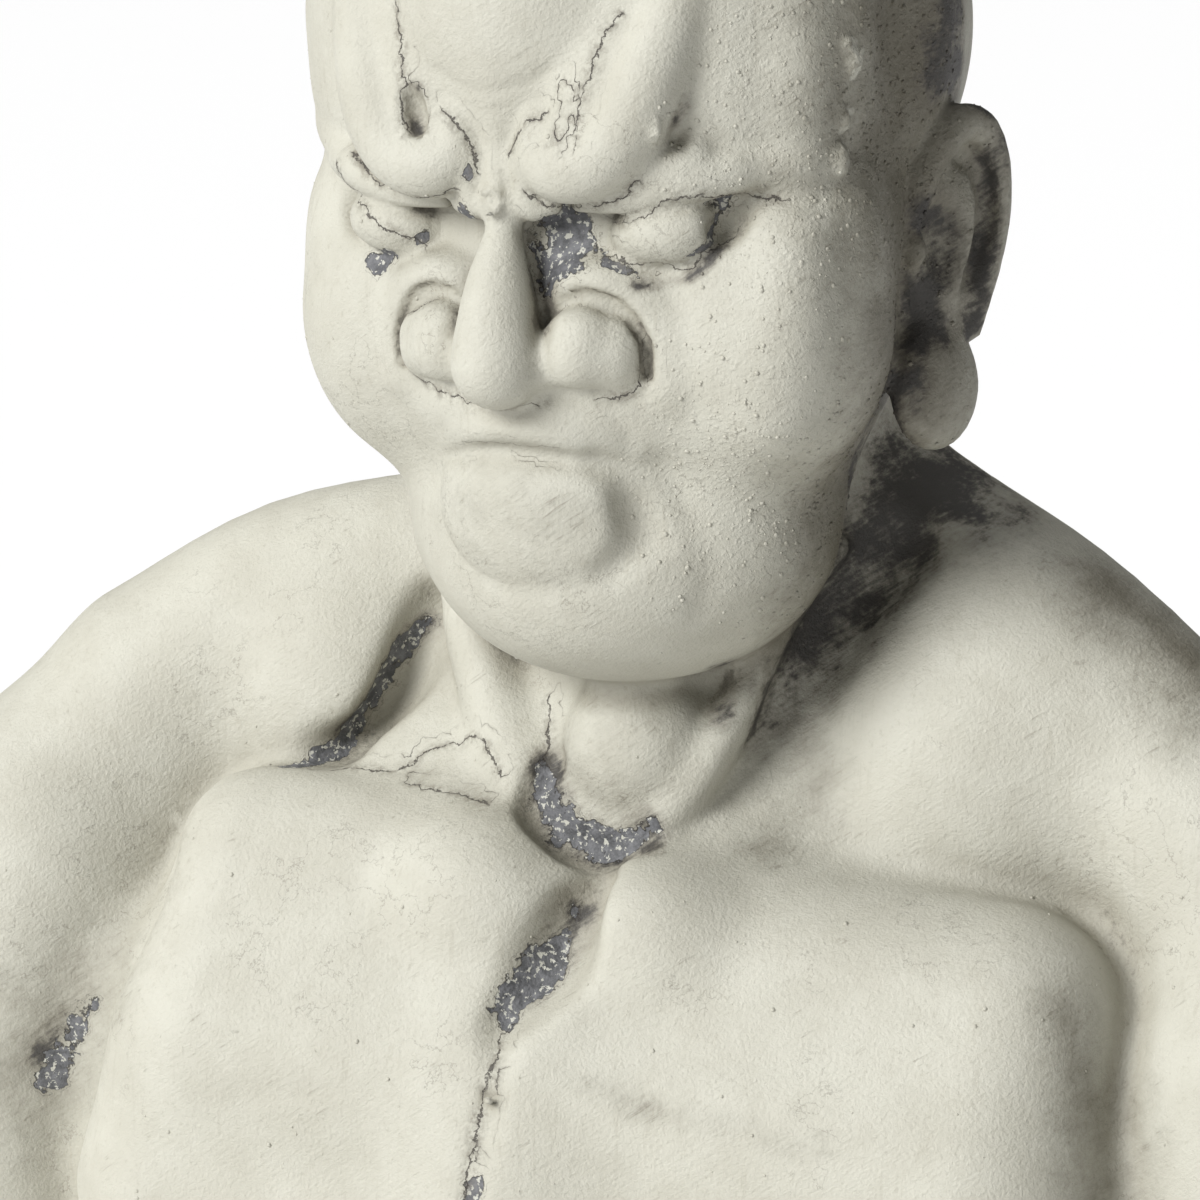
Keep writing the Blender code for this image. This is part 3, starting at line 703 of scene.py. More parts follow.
BARE_TORSO = [
    [(-49, 32, 26, 1.8), (-53.7, 28.8, 18, 2.6), (-57, 25, 8, 2.3), (-60, 22, 0, 2), (-67, 12, -3.4, 1.2)],
    [
        (-13.4, 9, 8, 1.8), (-10.6, 6.4, 2, 3), (-6, 4.6, -0.6, 3.4), (1.5, 3.8, -2.2, 3.2),
        (7, 3.2, 0, 2.6), (12, 2.8, 3.6, 1.6),
    ],
    [(42.8, 23.6, 66, 2), (40.7, 17.8, 55.8, 1.8), (35, 13, 43, 1.4)],
    [(2.5, -5, -11, 1), (1, -8.6, -18, 2.4), (-1.5, -12.5, -25, 3.8), (-5, -16, -30, 3), (-4, -18, -34, 1.4)],
    [(-2.1, -27.2, -61, 1.8), (-3, -27.6, -70, 2)],
    [(-92, -6, -46, 1.2), (-94, -3, -54, 2.2), (-102, 1, -72, 3)],
]


def spread(place, rows):
    """1 on a path, 0.5 at the radius that its rows give, 0 at twice that."""
    rows = smooth_path(rows)
    best = np.full(len(place), 2, np.float32)
    for start, end in zip(rows, rows[1:]):
        gap, share = from_segment(place, start, end)
        best = np.minimum(best, np.linalg.norm(gap, axis=1) / (start[3] + (end[3] - start[3]) * share))
    return 1 - 0.5 * best


def corners(mesh):
    """Vertex places in the figure's units, and vertex normals."""
    places = np.zeros(len(mesh.vertices) * 3, np.float32)
    mesh.vertices.foreach_get("co", places)
    normals = np.zeros(len(mesh.vertices) * 3, np.float32)
    mesh.vertex_normals.foreach_get("vector", normals)
    return to_units(places.reshape(-1, 3)), normals.reshape(-1, 3)


def store(mesh, name, values):
    layer = mesh.attributes.new(name, "FLOAT", "POINT")
    layer.data.foreach_set("value", np.ascontiguousarray(values, np.float32))
    print(f"{name}: mean {values.mean():.3f}, most {values.max():.3f}")


places, normals = corners(bust.data)
in_head = (places - np.array(HEAD_CENTRE, np.float32)) @ np.array(head_axes(), np.float32)
in_torso = places @ np.array(torso_axes(), np.float32)
bare = np.max(
    [spread(in_head, rows) for rows in BARE_HEAD] + [spread(in_torso, rows) for rows in BARE_TORSO], axis=0
)
store(bust.data, "bare", bare)

# %% [markdown]
# ## Hollows
# The paint is darkened in hollows as painted shade, and in the deepest nearly to black as painted shade and
# dirt. Stepping straight out from the skin by a few millimetres and asking the field how far the nearest
# skin is tells how closed-in a place is: on open skin the answer is the step itself.

# %% Hollows
CREASE_REACH = 2.5
HOLLOW_REACH = 7.0


def closed_in(places, normals, reach):
    """0 on open skin, up to 1 where other skin is close in front."""
    return np.clip(1 - figure(places + normals * np.float32(reach)) / reach, 0, 1)


hollow = np.maximum(closed_in(places, normals, CREASE_REACH), closed_in(places, normals, HOLLOW_REACH))
store(bust.data, "hollow", hollow)

# %% [markdown]
# ## Cracked paint
# Fine dark lines run where the paint has split along the edges of forms. Each vertex gets its signed
# distance from the nearest line, which crosses zero evenly, so a line much thinner than a triangle still
# draws crisply.

# %% Cracks
CRACK_HEAD = [
    [(-20.5, -47.6, 39.6), (-19, -49, 32.7), (-17.3, -50.6, 25.9), (-16.4, -51.4, 24)],
    [(-9.9, -50.5, 21.1), (-4.5, -50.4, 15.6), (-3.1, -49.7, 9.4)],
    [(11.7, -50.8, 20.9), (6.5, -50.9, 18), (3.4, -50, 13.1)],
    [(25.3, -46.5, 38.2), (21.8, -48.4, 33.2), (20.4, -49.9, 28.2), (19, -51.1, 23.1), (18.4, -53.6, 14.7)],
    [(27.5, -46.3, 8.9), (21.6, -46.7, 4.5), (11.6, -46.8, 3.7), (6.1, -49.3, 7)],
    [(-34.4, -41.8, 12.1), (-25.7, -46.5, 6.6), (-12.6, -50.7, 5.2), (-7.3, -49.8, 6.6)],
    [
        (15.1, -42.4, 2), (22.2, -44.5, 1.2), (28.4, -44.7, 3), (35.1, -42.3, 5.7), (40.7, -34.4, 4.8),
        (48, -30, 4.1),
    ],
    [(17.8, -42.3, -4.1), (24.8, -42.5, -7), (31.5, -40.1, -7.4), (36.7, -37.9, -4), (39.2, -32.7, 0.3)],
    [
        (-17.7, -42.7, -4.5), (-23.4, -44.2, -2.7), (-28.8, -44.8, 0.6), (-35.2, -41.7, 4.9),
        (-38.9, -40.5, 10.1),
    ],
    [(-15, -45.6, -14.8), (-21, -44.6, -16.6), (-24.4, -42.4, -21), (-23.6, -42.6, -26), (-19, -44.6, -29.6)],
    [(-19, -44.6, -29.6), (-10.2, -47.4, -31.2), (-4, -49.4, -32.4), (3.8, -50, -32.4), (8.8, -48, -31)],
    [
        (23.1, -43.6, -16.9), (25.6, -43.1, -21.3), (25.4, -43, -25.8), (22.3, -43.2, -29.4),
        (16, -45.4, -30.6),
    ],
    [(-19.5, -42.5, -43.4), (-15, -45, -42), (-7, -46.6, -41), (0, -47, -41), (8, -46.6, -41.2)],
    [(-15.2 + 2.4 * math.cos(a), -51.2, 20.6 + 5.2 * math.sin(a)) for a in np.linspace(0, 2 * math.pi, 9)],
    [(14, -51, 27), (17.4, -51.6, 24), (16.4, -53, 18), (13.6, -53, 16), (14.6, -52.4, 21), (13, -51, 26)],
]
CRACK_TORSO = [
    [
        (-5, -18.6, -33.6), (-3.6, -22.2, -37.6), (-3.6, -24.9, -42.7), (-3.7, -26.3, -48.2),
        (-3.9, -27, -63), (-4, -28, -76),
    ],
    [
        (-64, 13.2, -2.8), (-54, 13.8, -0.7), (-44, 12, 1), (-36.8, 14.9, 6.9), (-27.6, 11, 10.5),
        (-20.6, 5.8, 5.1),
    ],
    [(-18, 16, 21.6), (-14.1, 10.9, 13.5), (-13.7, 8.9, 9)],
    [(-43, 16, 8), (-40, 8, 1), (-30.1, 5.4, 1.1), (-20, 2, 0.8)],
]
LINE_REACH = 4.0


def trace(place, normal, lines):
    """Signed distance from the nearest of some lines, and how strongly it is drawn.

    The strength is full within 1.5 mm of the line and nothing at LINE_REACH or past its ends.
    """
    nearest = np.full(len(place), LINE_REACH, np.float32)
    signed = np.full(len(place), LINE_REACH, np.float32)
    strength = np.zeros(len(place), np.float32)
    for line in lines:
        rows = smooth_path([(*point, 0) for point in line])[:, :3]
        count = len(rows) - 1
        for number, (start, end) in enumerate(zip(rows, rows[1:])):
            along = end - start
            offset = place - start
            share = offset @ along / float(along @ along)
            gap = offset - np.clip(share, 0, 1)[:, None] * along
            distance = np.linalg.norm(gap, axis=1)
            closer = distance < nearest
            side = np.sign(np.einsum("ij,ij->i", gap, np.cross(along, normal)))
            beyond = ((number == 0) & (share < 0)) | ((number == count - 1) & (share > 1))
            nearest[closer] = distance[closer]
            signed[closer] = (distance * side)[closer]
            strength[closer] = np.where(beyond, 0, np.clip(1.6 - 0.4 * distance, 0, 1))[closer]
    return signed, strength


on_face = trace(in_head, normals @ np.array(head_axes(), np.float32), CRACK_HEAD)
on_chest = trace(in_torso, normals @ np.array(torso_axes(), np.float32), CRACK_TORSO)
signed, strength = np.where(on_face[1] >= on_chest[1], on_face, on_chest)
store(bust.data, "crack", signed)
store(bust.data, "crack_strength", strength)

# %% [markdown]
# ## Coarse paint, dirt and stains
# On the figure's left temple, jaw and ear the paint went on with sand in it, and stands up in small grains,
# and a few grains lie all over the front. Dark dirt lies in that ear, behind the jaw and down the neck, and
# in the pits. Paler stains spread over the left shoulder and the chest. Down the side of the head a broad
# brown is painted shade as well as stain, and the dark above the ear is painted shade as well as dirt. A few
# drips of paint run clean through them beside the brow. A stain has an amount and a path, and the others
# are paths only.

# %% Sandy, dirty and stained areas
SANDY_HEAD = [((52, -12, 14), (26, 40, 40)), ((44, -20, -46), (30, 34, 34))]
FRONT_DEPTH = 20.0
GRAINS_ABOVE_BASE = 8.0
FEW_GRAINS = 0.014


def patch(place, centre, radii):
    """1 in the middle of a soft patch, falling to 0 at 1.3 times its radii."""
    gap = np.linalg.norm((place - np.array(centre, np.float32)) / np.array(radii, np.float32), axis=1)
    return np.clip(1.3 - gap, 0, 1)


# The first path, on the side of the head above the ear, is painted shade as well as dirt.
DIRT_AND_SHADE_HEAD = [
    [(60, 10, 62, 8), (63, 12, 34, 8), (62, 8, 22, 6)],
    [(52, -2, -18, 3), (52, 0, -30, 5), (48, 4, -44, 6), (40, 8, -56, 6)],
    [(55, 6, 30, 5), (58, 14, 24, 6), (60, 22, 20, 4)],
    [(58, 14, 20, 3), (62, 22, 10, 3), (61.3, 20.3, -10.7, 3.4), (59.8, 18.4, -25.2, 3)],
    [(56.4, 5.8, -2.7, 4), (56.8, 11, -9, 5), (55, 8.4, -20, 5), (55.6, 8.4, -24, 4)],
    [(54, 2, -14, 4), (54, 0, -28, 5), (48, 2, -46, 5)],
    [(56, 2, -30, 4), (55, 1, -40, 3)],
    [(57, 9, -4, 3), (57, 8, -14, 3.4), (54, 6, -26, 3)],
    [(24, -43, -10, 1.2), (33, -40, -8.4, 1.2), (38, -36, -3, 1.2)],
    [(35, -42, 22, 1.6), (33, -43, 19, 1.6)],
    [(-15.2, -50, 24, 1.4), (-15.2, -50, 17, 1.4)],
]
DIRT_TORSO = [
    [(46, 42, 76, 15), (39, 33, 62, 12), (32, 25.5, 46, 9), (27.6, 22, 34, 6.5), (24.6, 16, 19, 3)],
    [(-92, -10, -44, 2.4), (-96, -6, -56, 3.4), (-103, 0, -68, 3)],
    [(-49, 32, 26, 2), (-53.7, 28.8, 18, 2.6), (-57, 25, 8, 2.6), (-60, 22, 0, 2.2)],
    [(1.9, -5.7, -13.8, 4), (1, -9, -19, 4), (-2, -14, -28, 3)],
    [(-13, 9, 8, 4), (-8, 5, 0, 4), (2, 2, -3, 4), (11, 2, 2, 4)],
    [(18, 8, 26, 3), (20, 4, 36, 4)],
]
# The first, broad path down the side of the head is painted shade as well as a brown stain.
SHADE_AND_STAIN_HEAD = [
    (1, [(61, -2, 66, 23), (62, -3, 20, 23), (60, -4, -20, 18), (51, -4, -52, 16), (30, 0, -78, 10)]),
    (0.25, [(-10, -42, -52, 12), (6, -42, -56, 12)]),
]
STAIN_TORSO = [
    (0.8, [(80, 38, 58, 9), (93, 38, 52, 10), (106, 36, 42, 12)]),
    (0.3, [(0, 4, 18, 14), (0, 6, 6, 12)]),
    (0.5, [(30, 20, 24, 6), (36, 16, 12, 7), (30, 8, 2, 5)]),
    (0.35, [(-42, 10, 2, 4), (-24, 4, 2, 5), (-10, -4, -8, 5)]),
    (0.3, [(-70, 12, -4, 5), (-76, -4, -24, 5), (-80, -14, -50, 5)]),
    (0.35, [(10, -20, -40, 3), (34, -24, -41, 3), (60, -24, -40, 3)]),
    (0.6, [(95, -5, -9, 5), (102, -4, -22, 8), (105, -4, -40, 9), (102, -10, -64, 9), (98, -10, -80, 9)]),
    (0.5, [(-96, -4, -50, 12), (-112, 0, -76, 14)]),
]
DRIPS = [
    [(56.4, -22, 31, 1), (56.9, -20.7, 27.6, 1.6), (56.8, -21, 25, 1)],
    [(54.9, -21.6, 18.4, 1), (55, -21.4, 16.4, 1.3)],
    [(54.3, -21.9, 12, 1.4), (54, -22.9, 9, 1.7)],
    [(53.2, -26.7, 3, 1), (53.3, -28, -0.3, 1.2)],
]
sandy = np.max([patch(in_head, *area) for area in SANDY_HEAD], axis=0)
front = (places[:, 1] < FRONT_DEPTH) & (places[:, 2] > LOW[2] + BELOW_CUT + GRAINS_ABOVE_BASE)
sandy = np.where(front, np.maximum(sandy, FEW_GRAINS), 0)
store(bust.data, "sandy", sandy)
dirt_and_shade = np.max(
    [spread(in_head, rows) for rows in DIRT_AND_SHADE_HEAD] + [spread(in_torso, rows) for rows in DIRT_TORSO], axis=0
)
stain_and_shade = np.max(
    [amount * spread(in_head, rows) for amount, rows in SHADE_AND_STAIN_HEAD]
    + [amount * spread(in_torso, rows) for amount, rows in STAIN_TORSO],
    axis=0,
)
clean = np.max([spread(in_head, rows) for rows in DRIPS], axis=0)
store(bust.data, "dirt_and_shade", np.where(clean > 0.5, 0, np.clip(dirt_and_shade, 0, 1)))
store(bust.data, "stain_and_shade", np.where(clean > 0.5, 0, np.clip(stain_and_shade, 0, 1)))

# %% [markdown]
# ## Node trees
# The grains and the finish are both node trees. These few helpers let a tree be written as a short list of
# steps: a node's input takes either a value or the output of an earlier node.

# %% Helpers for node trees
NUMBER, COLOUR, VECTOR = "NodeSocketFloat", "NodeSocketColor", "NodeSocketVector"


def feed(tree, socket, value):
    """Sets an input to a value, or links it to an output."""
    if isinstance(value, bpy.types.NodeSocket):
        tree.links.new(value, socket)
    else:
        socket.default_value = value


def add(tree, kind, settings=None, **inputs):
    """Adds a node. settings are its properties, and inputs are values or sockets by input name."""
    new = tree.nodes.new(kind)
    for key, value in (settings or {}).items():
        setattr(new, key, value)
    for key, value in inputs.items():
        feed(tree, new.inputs[key.replace("_", " ")], value)
    return new


def calc(tree, operation, *terms):
    """A math node on values or sockets, and its result."""
    new = add(tree, "ShaderNodeMath", {"operation": operation})
    for socket, term in zip(new.inputs, terms):
        feed(tree, socket, term)
    return new.outputs[0]


def with_sockets(tree, inputs, outputs):
    """Gives a tree its named sockets, and returns what it is given and what it results in."""
    for direction, sockets in (("INPUT", inputs), ("OUTPUT", outputs)):
        for name, kind in sockets:
            tree.interface.new_socket(name, in_out=direction, socket_type=kind)
    return tree.nodes.new("NodeGroupInput").outputs, tree.nodes.new("NodeGroupOutput").inputs


# %% [markdown]
# ## Grains of sand in the paint
# Where the paint is coarse each grain is a real bump that catches the light at the edge of the face. They
# are scattered over the skin by Geometry Nodes, as thick as the sandy value says, and pressed half into it.
# Small grains are common and large ones rare, so an even chance is raised to a power before it gives the
# size.

# %% Grains
RARITY = 3.5
FLATTENED = 0.6


def grain_tree():
    """Scatters flattened grains over a surface, and keeps the surface."""
    tree = bpy.data.node_groups.new("Sand in paint", "GeometryNodeTree")
    given, result = with_sockets(
        tree,
        [
            ("Geometry", "NodeSocketGeometry"), ("Grains per m2", NUMBER), ("Smallest", NUMBER),
            ("Largest", NUMBER), ("Seed", "NodeSocketInt"), ("Material", "NodeSocketMaterial"),
        ],
        [("Geometry", "NodeSocketGeometry")],
    )
    sandiness = add(tree, "GeometryNodeInputNamedAttribute", {"data_type": "FLOAT"}, Name="sandy")
    density = calc(tree, "MULTIPLY", sandiness.outputs["Attribute"], given["Grains per m2"])
    scatter = add(
        tree, "GeometryNodeDistributePointsOnFaces",
        Mesh=given["Geometry"], Density=density, Seed=given["Seed"],
    )
    ball = add(tree, "GeometryNodeMeshIcoSphere", Radius=1.0, Subdivisions=1)
    grain = add(tree, "GeometryNodeSetShadeSmooth", Geometry=ball.outputs["Mesh"])
    chance = add(tree, "FunctionNodeRandomValue", {"data_type": "FLOAT"}, Seed=given["Seed"])
    rare = calc(tree, "POWER", chance.outputs[1], RARITY)
    sizes = add(tree, "ShaderNodeMapRange", Value=rare, To_Min=given["Smallest"], To_Max=given["Largest"])
    size = sizes.outputs["Result"]
    scale = add(tree, "ShaderNodeCombineXYZ", X=size, Y=size, Z=calc(tree, "MULTIPLY", size, FLATTENED))
    place = add(
        tree, "GeometryNodeInstanceOnPoints",
        Points=scatter.outputs["Points"], Instance=grain.outputs["Geometry"],
        Rotation=scatter.outputs["Rotation"], Scale=scale.outputs["Vector"],
    )
    both = add(tree, "GeometryNodeJoinGeometry", Geometry=place.outputs["Instances"])
    tree.links.new(given["Geometry"], both.inputs["Geometry"])
    real = add(tree, "GeometryNodeRealizeInstances", Geometry=both.outputs["Geometry"])
    painted = add(
        tree, "GeometryNodeSetMaterial", Geometry=real.outputs["Geometry"], Material=given["Material"]
    )
    tree.links.new(painted.outputs["Geometry"], result["Geometry"])
    return tree


def grow(piece, tree, **values):
    """Runs a node tree on a piece with its inputs set by name, and keeps the mesh it makes."""
    modifier = piece.modifiers.new(tree.name, "NODES")
    modifier.node_group = tree
    sockets = {item.name: item.identifier for item in tree.interface.items_tree if item.in_out == "INPUT"}
    for name, value in values.items():
        modifier[sockets[name.replace("_", " ")]] = value
    piece.update_tag()
    evaluated = piece.evaluated_get(bpy.context.evaluated_depsgraph_get())
    mesh = bpy.data.meshes.new_from_object(evaluated)
    piece.modifiers.clear()
    piece.data = mesh


stone = bpy.data.materials.new("Painted stone")
grow(bust, grain_tree(), Grains_per_m2=420000.0, Smallest=0.00013, Largest=0.00056, Seed=5, Material=stone)
print("Bust with grains:", len(bust.data.polygons), "triangles")

# %% [markdown]
# ## The finish
# One material does for the whole casting, because it is one casting under one coat of paint. Its effects
# are node groups: the paint itself, the bare places and the cracks. Each gives colours, masks or heights,
# and the material mixes them. Object coordinates are in metres, so they are first turned to millimetres.

# %% Helpers for finishes
def ramp(tree, value, low, high):
    """0 below low, 1 above high, smooth between. low may be the larger, which turns it round."""
    smooth = {"interpolation_type": "SMOOTHSTEP"}
    new = add(tree, "ShaderNodeMapRange", smooth, Value=value, From_Min=low, From_Max=high)
    return new.outputs["Result"]


def mix(tree, share, first, second):
    """Mixes two colours."""
    new = add(tree, "ShaderNodeMix", {"data_type": "RGBA"})
    for number, value in ((0, share), (6, first), (7, second)):
        feed(tree, new.inputs[number], value)
    return new.outputs[2]


def tint(tree, under, mask, strength, colour):
    """Mixes a colour over another, as strongly as a mask says."""
    return mix(tree, calc(tree, "MULTIPLY", mask, strength), under, colour)


def swing(tree, noise, share):
    """Noise swung about 0 instead of 0.5, times a share."""
    return calc(tree, "MULTIPLY", calc(tree, "SUBTRACT", noise, 0.5), share)


def noise_at(tree, vector, scale, detail=2.0, roughness=0.5, stretch=(1, 1, 1), turn=(0, 0, 0)):
    """Noise with features about 1 / scale across, centred on 0.5."""
    turned = add(tree, "ShaderNodeMapping", Vector=vector, Rotation=turn).outputs[0]
    scaled = add(tree, "ShaderNodeMapping", Vector=turned, Scale=stretch).outputs[0]
    new = add(tree, "ShaderNodeTexNoise", Vector=scaled, Scale=scale, Detail=detail, Roughness=roughness)
    return new.outputs["Fac"]


def effect(name, inputs, outputs):
    """An empty node group with named sockets, and its two end nodes."""
    tree = bpy.data.node_groups.new(name, "ShaderNodeTree")
    return tree, *with_sockets(tree, inputs, outputs)

# %% [markdown]
# ### Bare places
# The edge wanders by a coarse and a fine noise. A dark line of dirt follows it, and the grey inside carries
# flecks of paint that caught on the rough casting.

# %% Bare places as an effect
tree, given, result = effect(
    "Bare stone",
    [("Place", VECTOR), ("Bare", NUMBER)],
    [("Mask", NUMBER), ("Edge", NUMBER), ("Colour", COLOUR)],
)
broad = swing(tree, noise_at(tree, given["Place"], 0.22, 2), 0.9)
fine = swing(tree, noise_at(tree, given["Place"], 0.9, 4, 0.6), 0.45)
level = calc(tree, "ADD", given["Bare"], calc(tree, "ADD", broad, fine))
tree.links.new(ramp(tree, level, 0.5, 0.53), result["Mask"])
patchy = ramp(tree, noise_at(tree, given["Place"], 0.4), 0.38, 0.5)
edge = ramp(tree, calc(tree, "ABSOLUTE", calc(tree, "SUBTRACT", level, 0.5)), 0.035, 0.01)
ring = ramp(tree, calc(tree, "ABSOLUTE", calc(tree, "SUBTRACT", level, 0.37)), 0.02, 0.004)
inked = calc(tree, "MULTIPLY", calc(tree, "MAXIMUM", edge, calc(tree, "MULTIPLY", ring, 0.6)), patchy)
tree.links.new(calc(tree, "MULTIPLY", inked, ramp(tree, given["Bare"], 0.02, 0.12)), result["Edge"])
flecks = ramp(tree, noise_at(tree, given["Place"], 0.85, 3, 0.6), 0.57, 0.61)
mottle = ramp(tree, noise_at(tree, given["Place"], 0.5, 4, 0.65), 0.3, 0.7)
grey = mix(tree, mottle, (0.06, 0.061, 0.064, 1), (0.15, 0.152, 0.16, 1))
tree.links.new(mix(tree, flecks, grey, (0.46, 0.455, 0.4, 1)), result["Colour"])
bare_stone = tree

# %% [markdown]
# ### Cracks
# The line wobbles, thins and breaks. Its width is in millimetres. Dirt rubbed into it leaves a brown halo.

# %% Cracks as an effect
tree, given, result = effect(
    "Paint cracks",
    [("Place", VECTOR), ("Distance", NUMBER), ("Strength", NUMBER), ("Width", NUMBER)],
    [("Mask", NUMBER), ("Halo", NUMBER)],
)
wobble = swing(tree, noise_at(tree, given["Place"], 0.4, 4, 0.7), 4.5)
offset = calc(tree, "ABSOLUTE", calc(tree, "ADD", given["Distance"], wobble))
half = calc(tree, "MULTIPLY", given["Width"], noise_at(tree, given["Place"], 0.8, 2))
thinness = calc(tree, "DIVIDE", offset, half)
drawn = calc(tree, "MULTIPLY", ramp(tree, thinness, 1.2, 0.5), given["Strength"])
unbroken = ramp(tree, noise_at(tree, given["Place"], 0.3), 0.32, 0.45)
tree.links.new(calc(tree, "MULTIPLY", drawn, unbroken), result["Mask"])
smudged = ramp(tree, noise_at(tree, given["Place"], 0.5, 4, 0.7), 0.4, 0.62)
halo = calc(tree, "MULTIPLY", ramp(tree, offset, 2.6, 0.1), given["Strength"])
tree.links.new(calc(tree, "MULTIPLY", halo, smudged), result["Halo"])
paint_cracks = tree

# %% [markdown]
# ### Paint
# Off-white, wiped on by hand: slightly uneven, with fine upright brush lines, slanting scratches and some
# crazing. Hollows are warmer and darker as painted shade, the deepest nearly black as painted shade and dirt.
# A stain browns it in soft blotches, and dirt takes it nearly to black; on the side of the head both are
# painted shade as well. Each tint goes over the one before.

# %% Paint as an effect
tree, given, result = effect(
    "Wiped paint",
    [("Place", VECTOR), ("Hollow", NUMBER), ("Stain", NUMBER), ("Dirt", NUMBER), ("Sand", NUMBER)],
    [("Colour", COLOUR), ("Height", NUMBER)],
)
uneven = ramp(tree, noise_at(tree, given["Place"], 0.06, 5, 0.65), 0.3, 0.7)
speckle = noise_at(tree, given["Place"], 0.7, 5, 0.75)
brushed = noise_at(tree, given["Place"], 1.0, 4, 0.65, stretch=(0.8, 0.8, 0.05))
scratched = noise_at(tree, given["Place"], 1.1, 4, 0.6, stretch=(0.1, 0.5, 1.2), turn=(0, 0.6, 0))
blotch = noise_at(tree, given["Place"], 0.11, 4, 0.6)
paint = mix(tree, uneven, (0.425, 0.413, 0.348, 1), (0.475, 0.466, 0.4, 1))
worn_area = ramp(tree, noise_at(tree, given["Place"], 0.05, 2), 0.4, 0.62)
worn = calc(tree, "MULTIPLY", ramp(tree, brushed, 0.52, 0.7), worn_area)
paint = tint(tree, paint, worn, 0.3, (0.32, 0.3, 0.24, 1))
paint = tint(tree, paint, ramp(tree, speckle, 0.56, 0.7), 0.35, (0.3, 0.28, 0.22, 1))
# Painted shade: warmer and darker in hollows, as closed-in as the skin is.
paint = tint(tree, paint, ramp(tree, given["Hollow"], 0.15, 0.9), 0.5, (0.2, 0.18, 0.13, 1))
# Painted shade and dirt: nearly black in the deepest hollows.
deep = calc(tree, "ADD", given["Hollow"], swing(tree, speckle, 0.9))
paint = tint(tree, paint, ramp(tree, deep, 0.74, 1.05), 0.6, (0.07, 0.06, 0.05, 1))
scratched_area = calc(tree, "ADD", blotch, calc(tree, "MULTIPLY", given["Stain"], 0.25))
scratches = calc(tree, "MULTIPLY", ramp(tree, scratched, 0.58, 0.7), ramp(tree, scratched_area, 0.53, 0.66))
paint = tint(tree, paint, scratches, 0.4, (0.17, 0.15, 0.115, 1))
contour = calc(tree, "ABSOLUTE", calc(tree, "SUBTRACT", noise_at(tree, given["Place"], 0.1, 5, 0.6), 0.5))
crazed_area = ramp(tree, noise_at(tree, given["Place"], 0.035, 1), 0.55, 0.63)
crazed = calc(tree, "MULTIPLY", ramp(tree, contour, 0.008, 0.002), crazed_area)
paint = tint(tree, paint, crazed, 0.35, (0.13, 0.115, 0.09, 1))
wear = swing(tree, speckle, 0.5)
for pattern, share in ((blotch, 1.3), (scratched, 0.55)):
    wear = calc(tree, "ADD", wear, swing(tree, pattern, share))
# Stain, which on the side of the head is painted shade as well.
stain_and_shade = ramp(tree, calc(tree, "ADD", given["Stain"], calc(tree, "MULTIPLY", wear, 0.5)), 0, 1)
paint = tint(tree, paint, stain_and_shade, ramp(tree, given["Stain"], 0, 0.2), (0.13, 0.118, 0.085, 1))
# Dirt, which on the side of the head above the ear is painted shade as well.
dirtied = ramp(tree, calc(tree, "ADD", given["Dirt"], wear), 0.05, 0.95)
dirtied = calc(tree, "MULTIPLY", dirtied, ramp(tree, given["Dirt"], 0, 0.35))
paint = tint(tree, paint, dirtied, 0.8, (0.13, 0.115, 0.088, 1))
grime = ramp(tree, calc(tree, "ADD", given["Dirt"], wear), 0.5, 0.85)
paint = tint(tree, paint, grime, 0.9, (0.04, 0.037, 0.034, 1))
tree.links.new(paint, result["Colour"])
fine = noise_at(tree, given["Place"], 1.3, 4, 0.65)
coarse = ramp(tree, noise_at(tree, given["Place"], 0.9, 2, 0.5), 0.52, 0.75)
grain = calc(tree, "MULTIPLY", coarse, calc(tree, "ADD", calc(tree, "MULTIPLY", given["Sand"], 0.45), 0.12))
height = calc(tree, "ADD", calc(tree, "MULTIPLY", fine, 0.28), calc(tree, "MULTIPLY", scratched, 0.14))
tree.links.new(calc(tree, "ADD", height, calc(tree, "MULTIPLY", grain, 0.3)), result["Height"])
wiped_paint = tree

# %% [markdown]
# ### The painted casting
# The paint lies over the stone, the dirt line lies in the step at its edge, and the cracks cut through it.
# Paint and stone are both quite dull. The step down to bare stone and the cracks are in the bump.

# %% The material
def attribute(tree, name):
    return add(tree, "ShaderNodeAttribute", {"attribute_name": name}).outputs["Fac"]


def group(tree, effect_tree, **inputs):
    """Places an effect in a material, and gives its outputs."""
    return add(tree, "ShaderNodeGroup", {"node_tree": effect_tree}, **inputs).outputs


def millimetres(tree):
    """Object coordinates in millimetres."""
    place = add(tree, "ShaderNodeTexCoord").outputs["Object"]
    return add(tree, "ShaderNodeMapping", Vector=place, Scale=(1000, 1000, 1000)).outputs[0]


stone.use_nodes = True
tree = stone.node_tree
surface = tree.nodes["Principled BSDF"]
place = millimetres(tree)
bare = group(tree, bare_stone, Place=place, Bare=attribute(tree, "bare"))
cracks = group(
    tree, paint_cracks, Place=place, Distance=attribute(tree, "crack"),
    Strength=attribute(tree, "crack_strength"), Width=0.45,
)
paint = group(
    tree, wiped_paint, Place=place, Hollow=attribute(tree, "hollow"),
    Stain=attribute(tree, "stain_and_shade"), Dirt=attribute(tree, "dirt_and_shade"), Sand=attribute(tree, "sandy"),
)
colour = mix(tree, bare["Mask"], paint["Colour"], bare["Colour"])
colour = tint(tree, colour, cracks["Halo"], 0.6, (0.14, 0.125, 0.095, 1))
colour = tint(tree, colour, bare["Edge"], 0.85, (0.035, 0.03, 0.025, 1))
colour = tint(tree, colour, cracks["Mask"], 0.85, (0.045, 0.037, 0.03, 1))
tree.links.new(colour, surface.inputs["Base Color"])
surface.inputs["Roughness"].default_value = 0.6
depth = calc(tree, "SUBTRACT", paint["Height"], calc(tree, "MULTIPLY", bare["Mask"], 0.25))
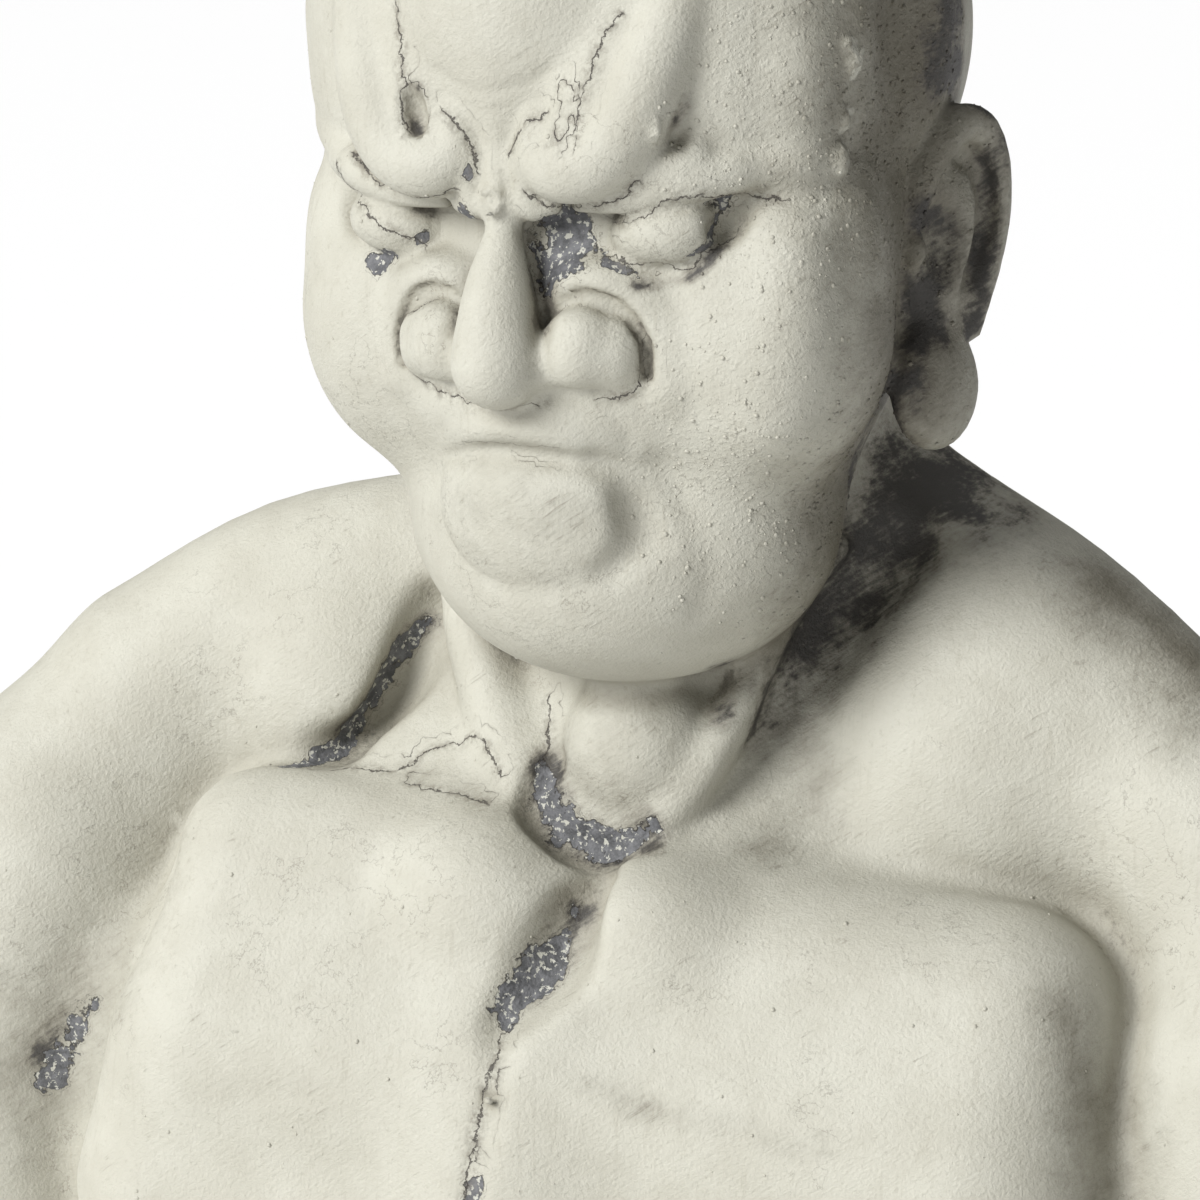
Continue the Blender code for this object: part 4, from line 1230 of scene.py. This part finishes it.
depth = calc(tree, "SUBTRACT", depth, calc(tree, "MULTIPLY", cracks["Mask"], 0.3))
bump = add(tree, "ShaderNodeBump", Height=depth, Strength=1.0, Distance=0.001)
tree.links.new(bump.outputs["Normal"], surface.inputs["Normal"])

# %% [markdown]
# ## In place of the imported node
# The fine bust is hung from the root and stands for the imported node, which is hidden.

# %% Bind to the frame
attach(bust, "root")
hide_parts(NODE)

# %% [markdown]
# ## Floor, light and camera
# The picture was taken from a little above and to the figure's left, close up, against white. A wide pale
# floor in the same light as the figure stands for that background: being paler than the paint, it comes out
# white.

# %% Floor
def plain(name, colour, roughness):
    """A plain material for the floor."""
    material = bpy.data.materials.new(name)
    material.use_nodes = True
    shader = material.node_tree.nodes["Principled BSDF"]
    shader.inputs["Base Color"].default_value = (*colour, 1)
    shader.inputs["Roughness"].default_value = roughness
    return material


bpy.ops.mesh.primitive_plane_add(size=160, location=(0, 0, 0))
floor = bpy.context.object
floor.name = "floor"
floor.data.materials.append(plain("Pale floor", (0.96, 0.96, 0.96), 0.9))

# %% [markdown]
# The camera stands near, and is set so that the middle of the skull falls on its own pixel of the picture.
# The main light is a broad soft one from the upper left of the camera, with a softer one from above.

# %% Camera and light
PICTURE = 1200
SENSOR_WIDTH = 36.0
AZIMUTH = 20.0
ELEVATION = 8.0
DISTANCE = 0.9
MM_PER_PIXEL = 0.184
SKULL_PIXEL = (635, 195)

azimuth, elevation = math.radians(AZIMUTH), math.radians(ELEVATION)
right = Vector((math.cos(azimuth), math.sin(azimuth), 0))
outward = math.cos(elevation)
back = Vector((math.sin(azimuth) * outward, -math.cos(azimuth) * outward, math.sin(elevation)))
up = back.cross(right)
skull = Vector(to_metres(np.array(HEAD_CENTRE)))
scale = MM_PER_PIXEL / 1000
middle = PICTURE / 2
target = skull + right * (middle - SKULL_PIXEL[0]) * scale + up * (SKULL_PIXEL[1] - middle) * scale
camera = bpy.data.objects.new("camera", bpy.data.cameras.new("camera"))
bpy.context.scene.collection.objects.link(camera)
camera.matrix_world = Matrix((
    (right.x, up.x, back.x, 0), (right.y, up.y, back.y, 0), (right.z, up.z, back.z, 0), (0, 0, 0, 1),
))
camera.location = target + back * DISTANCE
camera.data.sensor_width = SENSOR_WIDTH
camera.data.lens = SENSOR_WIDTH * DISTANCE / (PICTURE * scale)
camera.data.clip_start = 0.01
bpy.context.scene.camera = camera


def sun(name, offset, softness, strength):
    """Distant light from an offset along the camera's right, up and back. softness is in degrees."""
    lamp = bpy.data.objects.new(name, bpy.data.lights.new(name, "SUN"))
    lamp.data.angle = math.radians(softness)
    lamp.data.energy = strength
    direction = right * offset[0] + up * offset[1] + back * offset[2]
    lamp.rotation_euler = direction.to_track_quat("Z", "Y").to_euler()
    bpy.context.scene.collection.objects.link(lamp)


sun("key", (-0.72, 0.36, 0.62), 26, 4.1)
sun("top", (-0.2, 1, 0), 60, 1.4)
world = bpy.data.worlds.new("studio")
bpy.context.scene.world = world
world.use_nodes = True
sky = world.node_tree.nodes["Background"]
sky.inputs["Color"].default_value = (1, 1, 1, 1)
sky.inputs["Strength"].default_value = 0.08
bpy.context.scene.view_settings.view_transform = "Standard"
print("Camera at", [round(v, 3) for v in camera.location], "lens", round(camera.data.lens, 1))
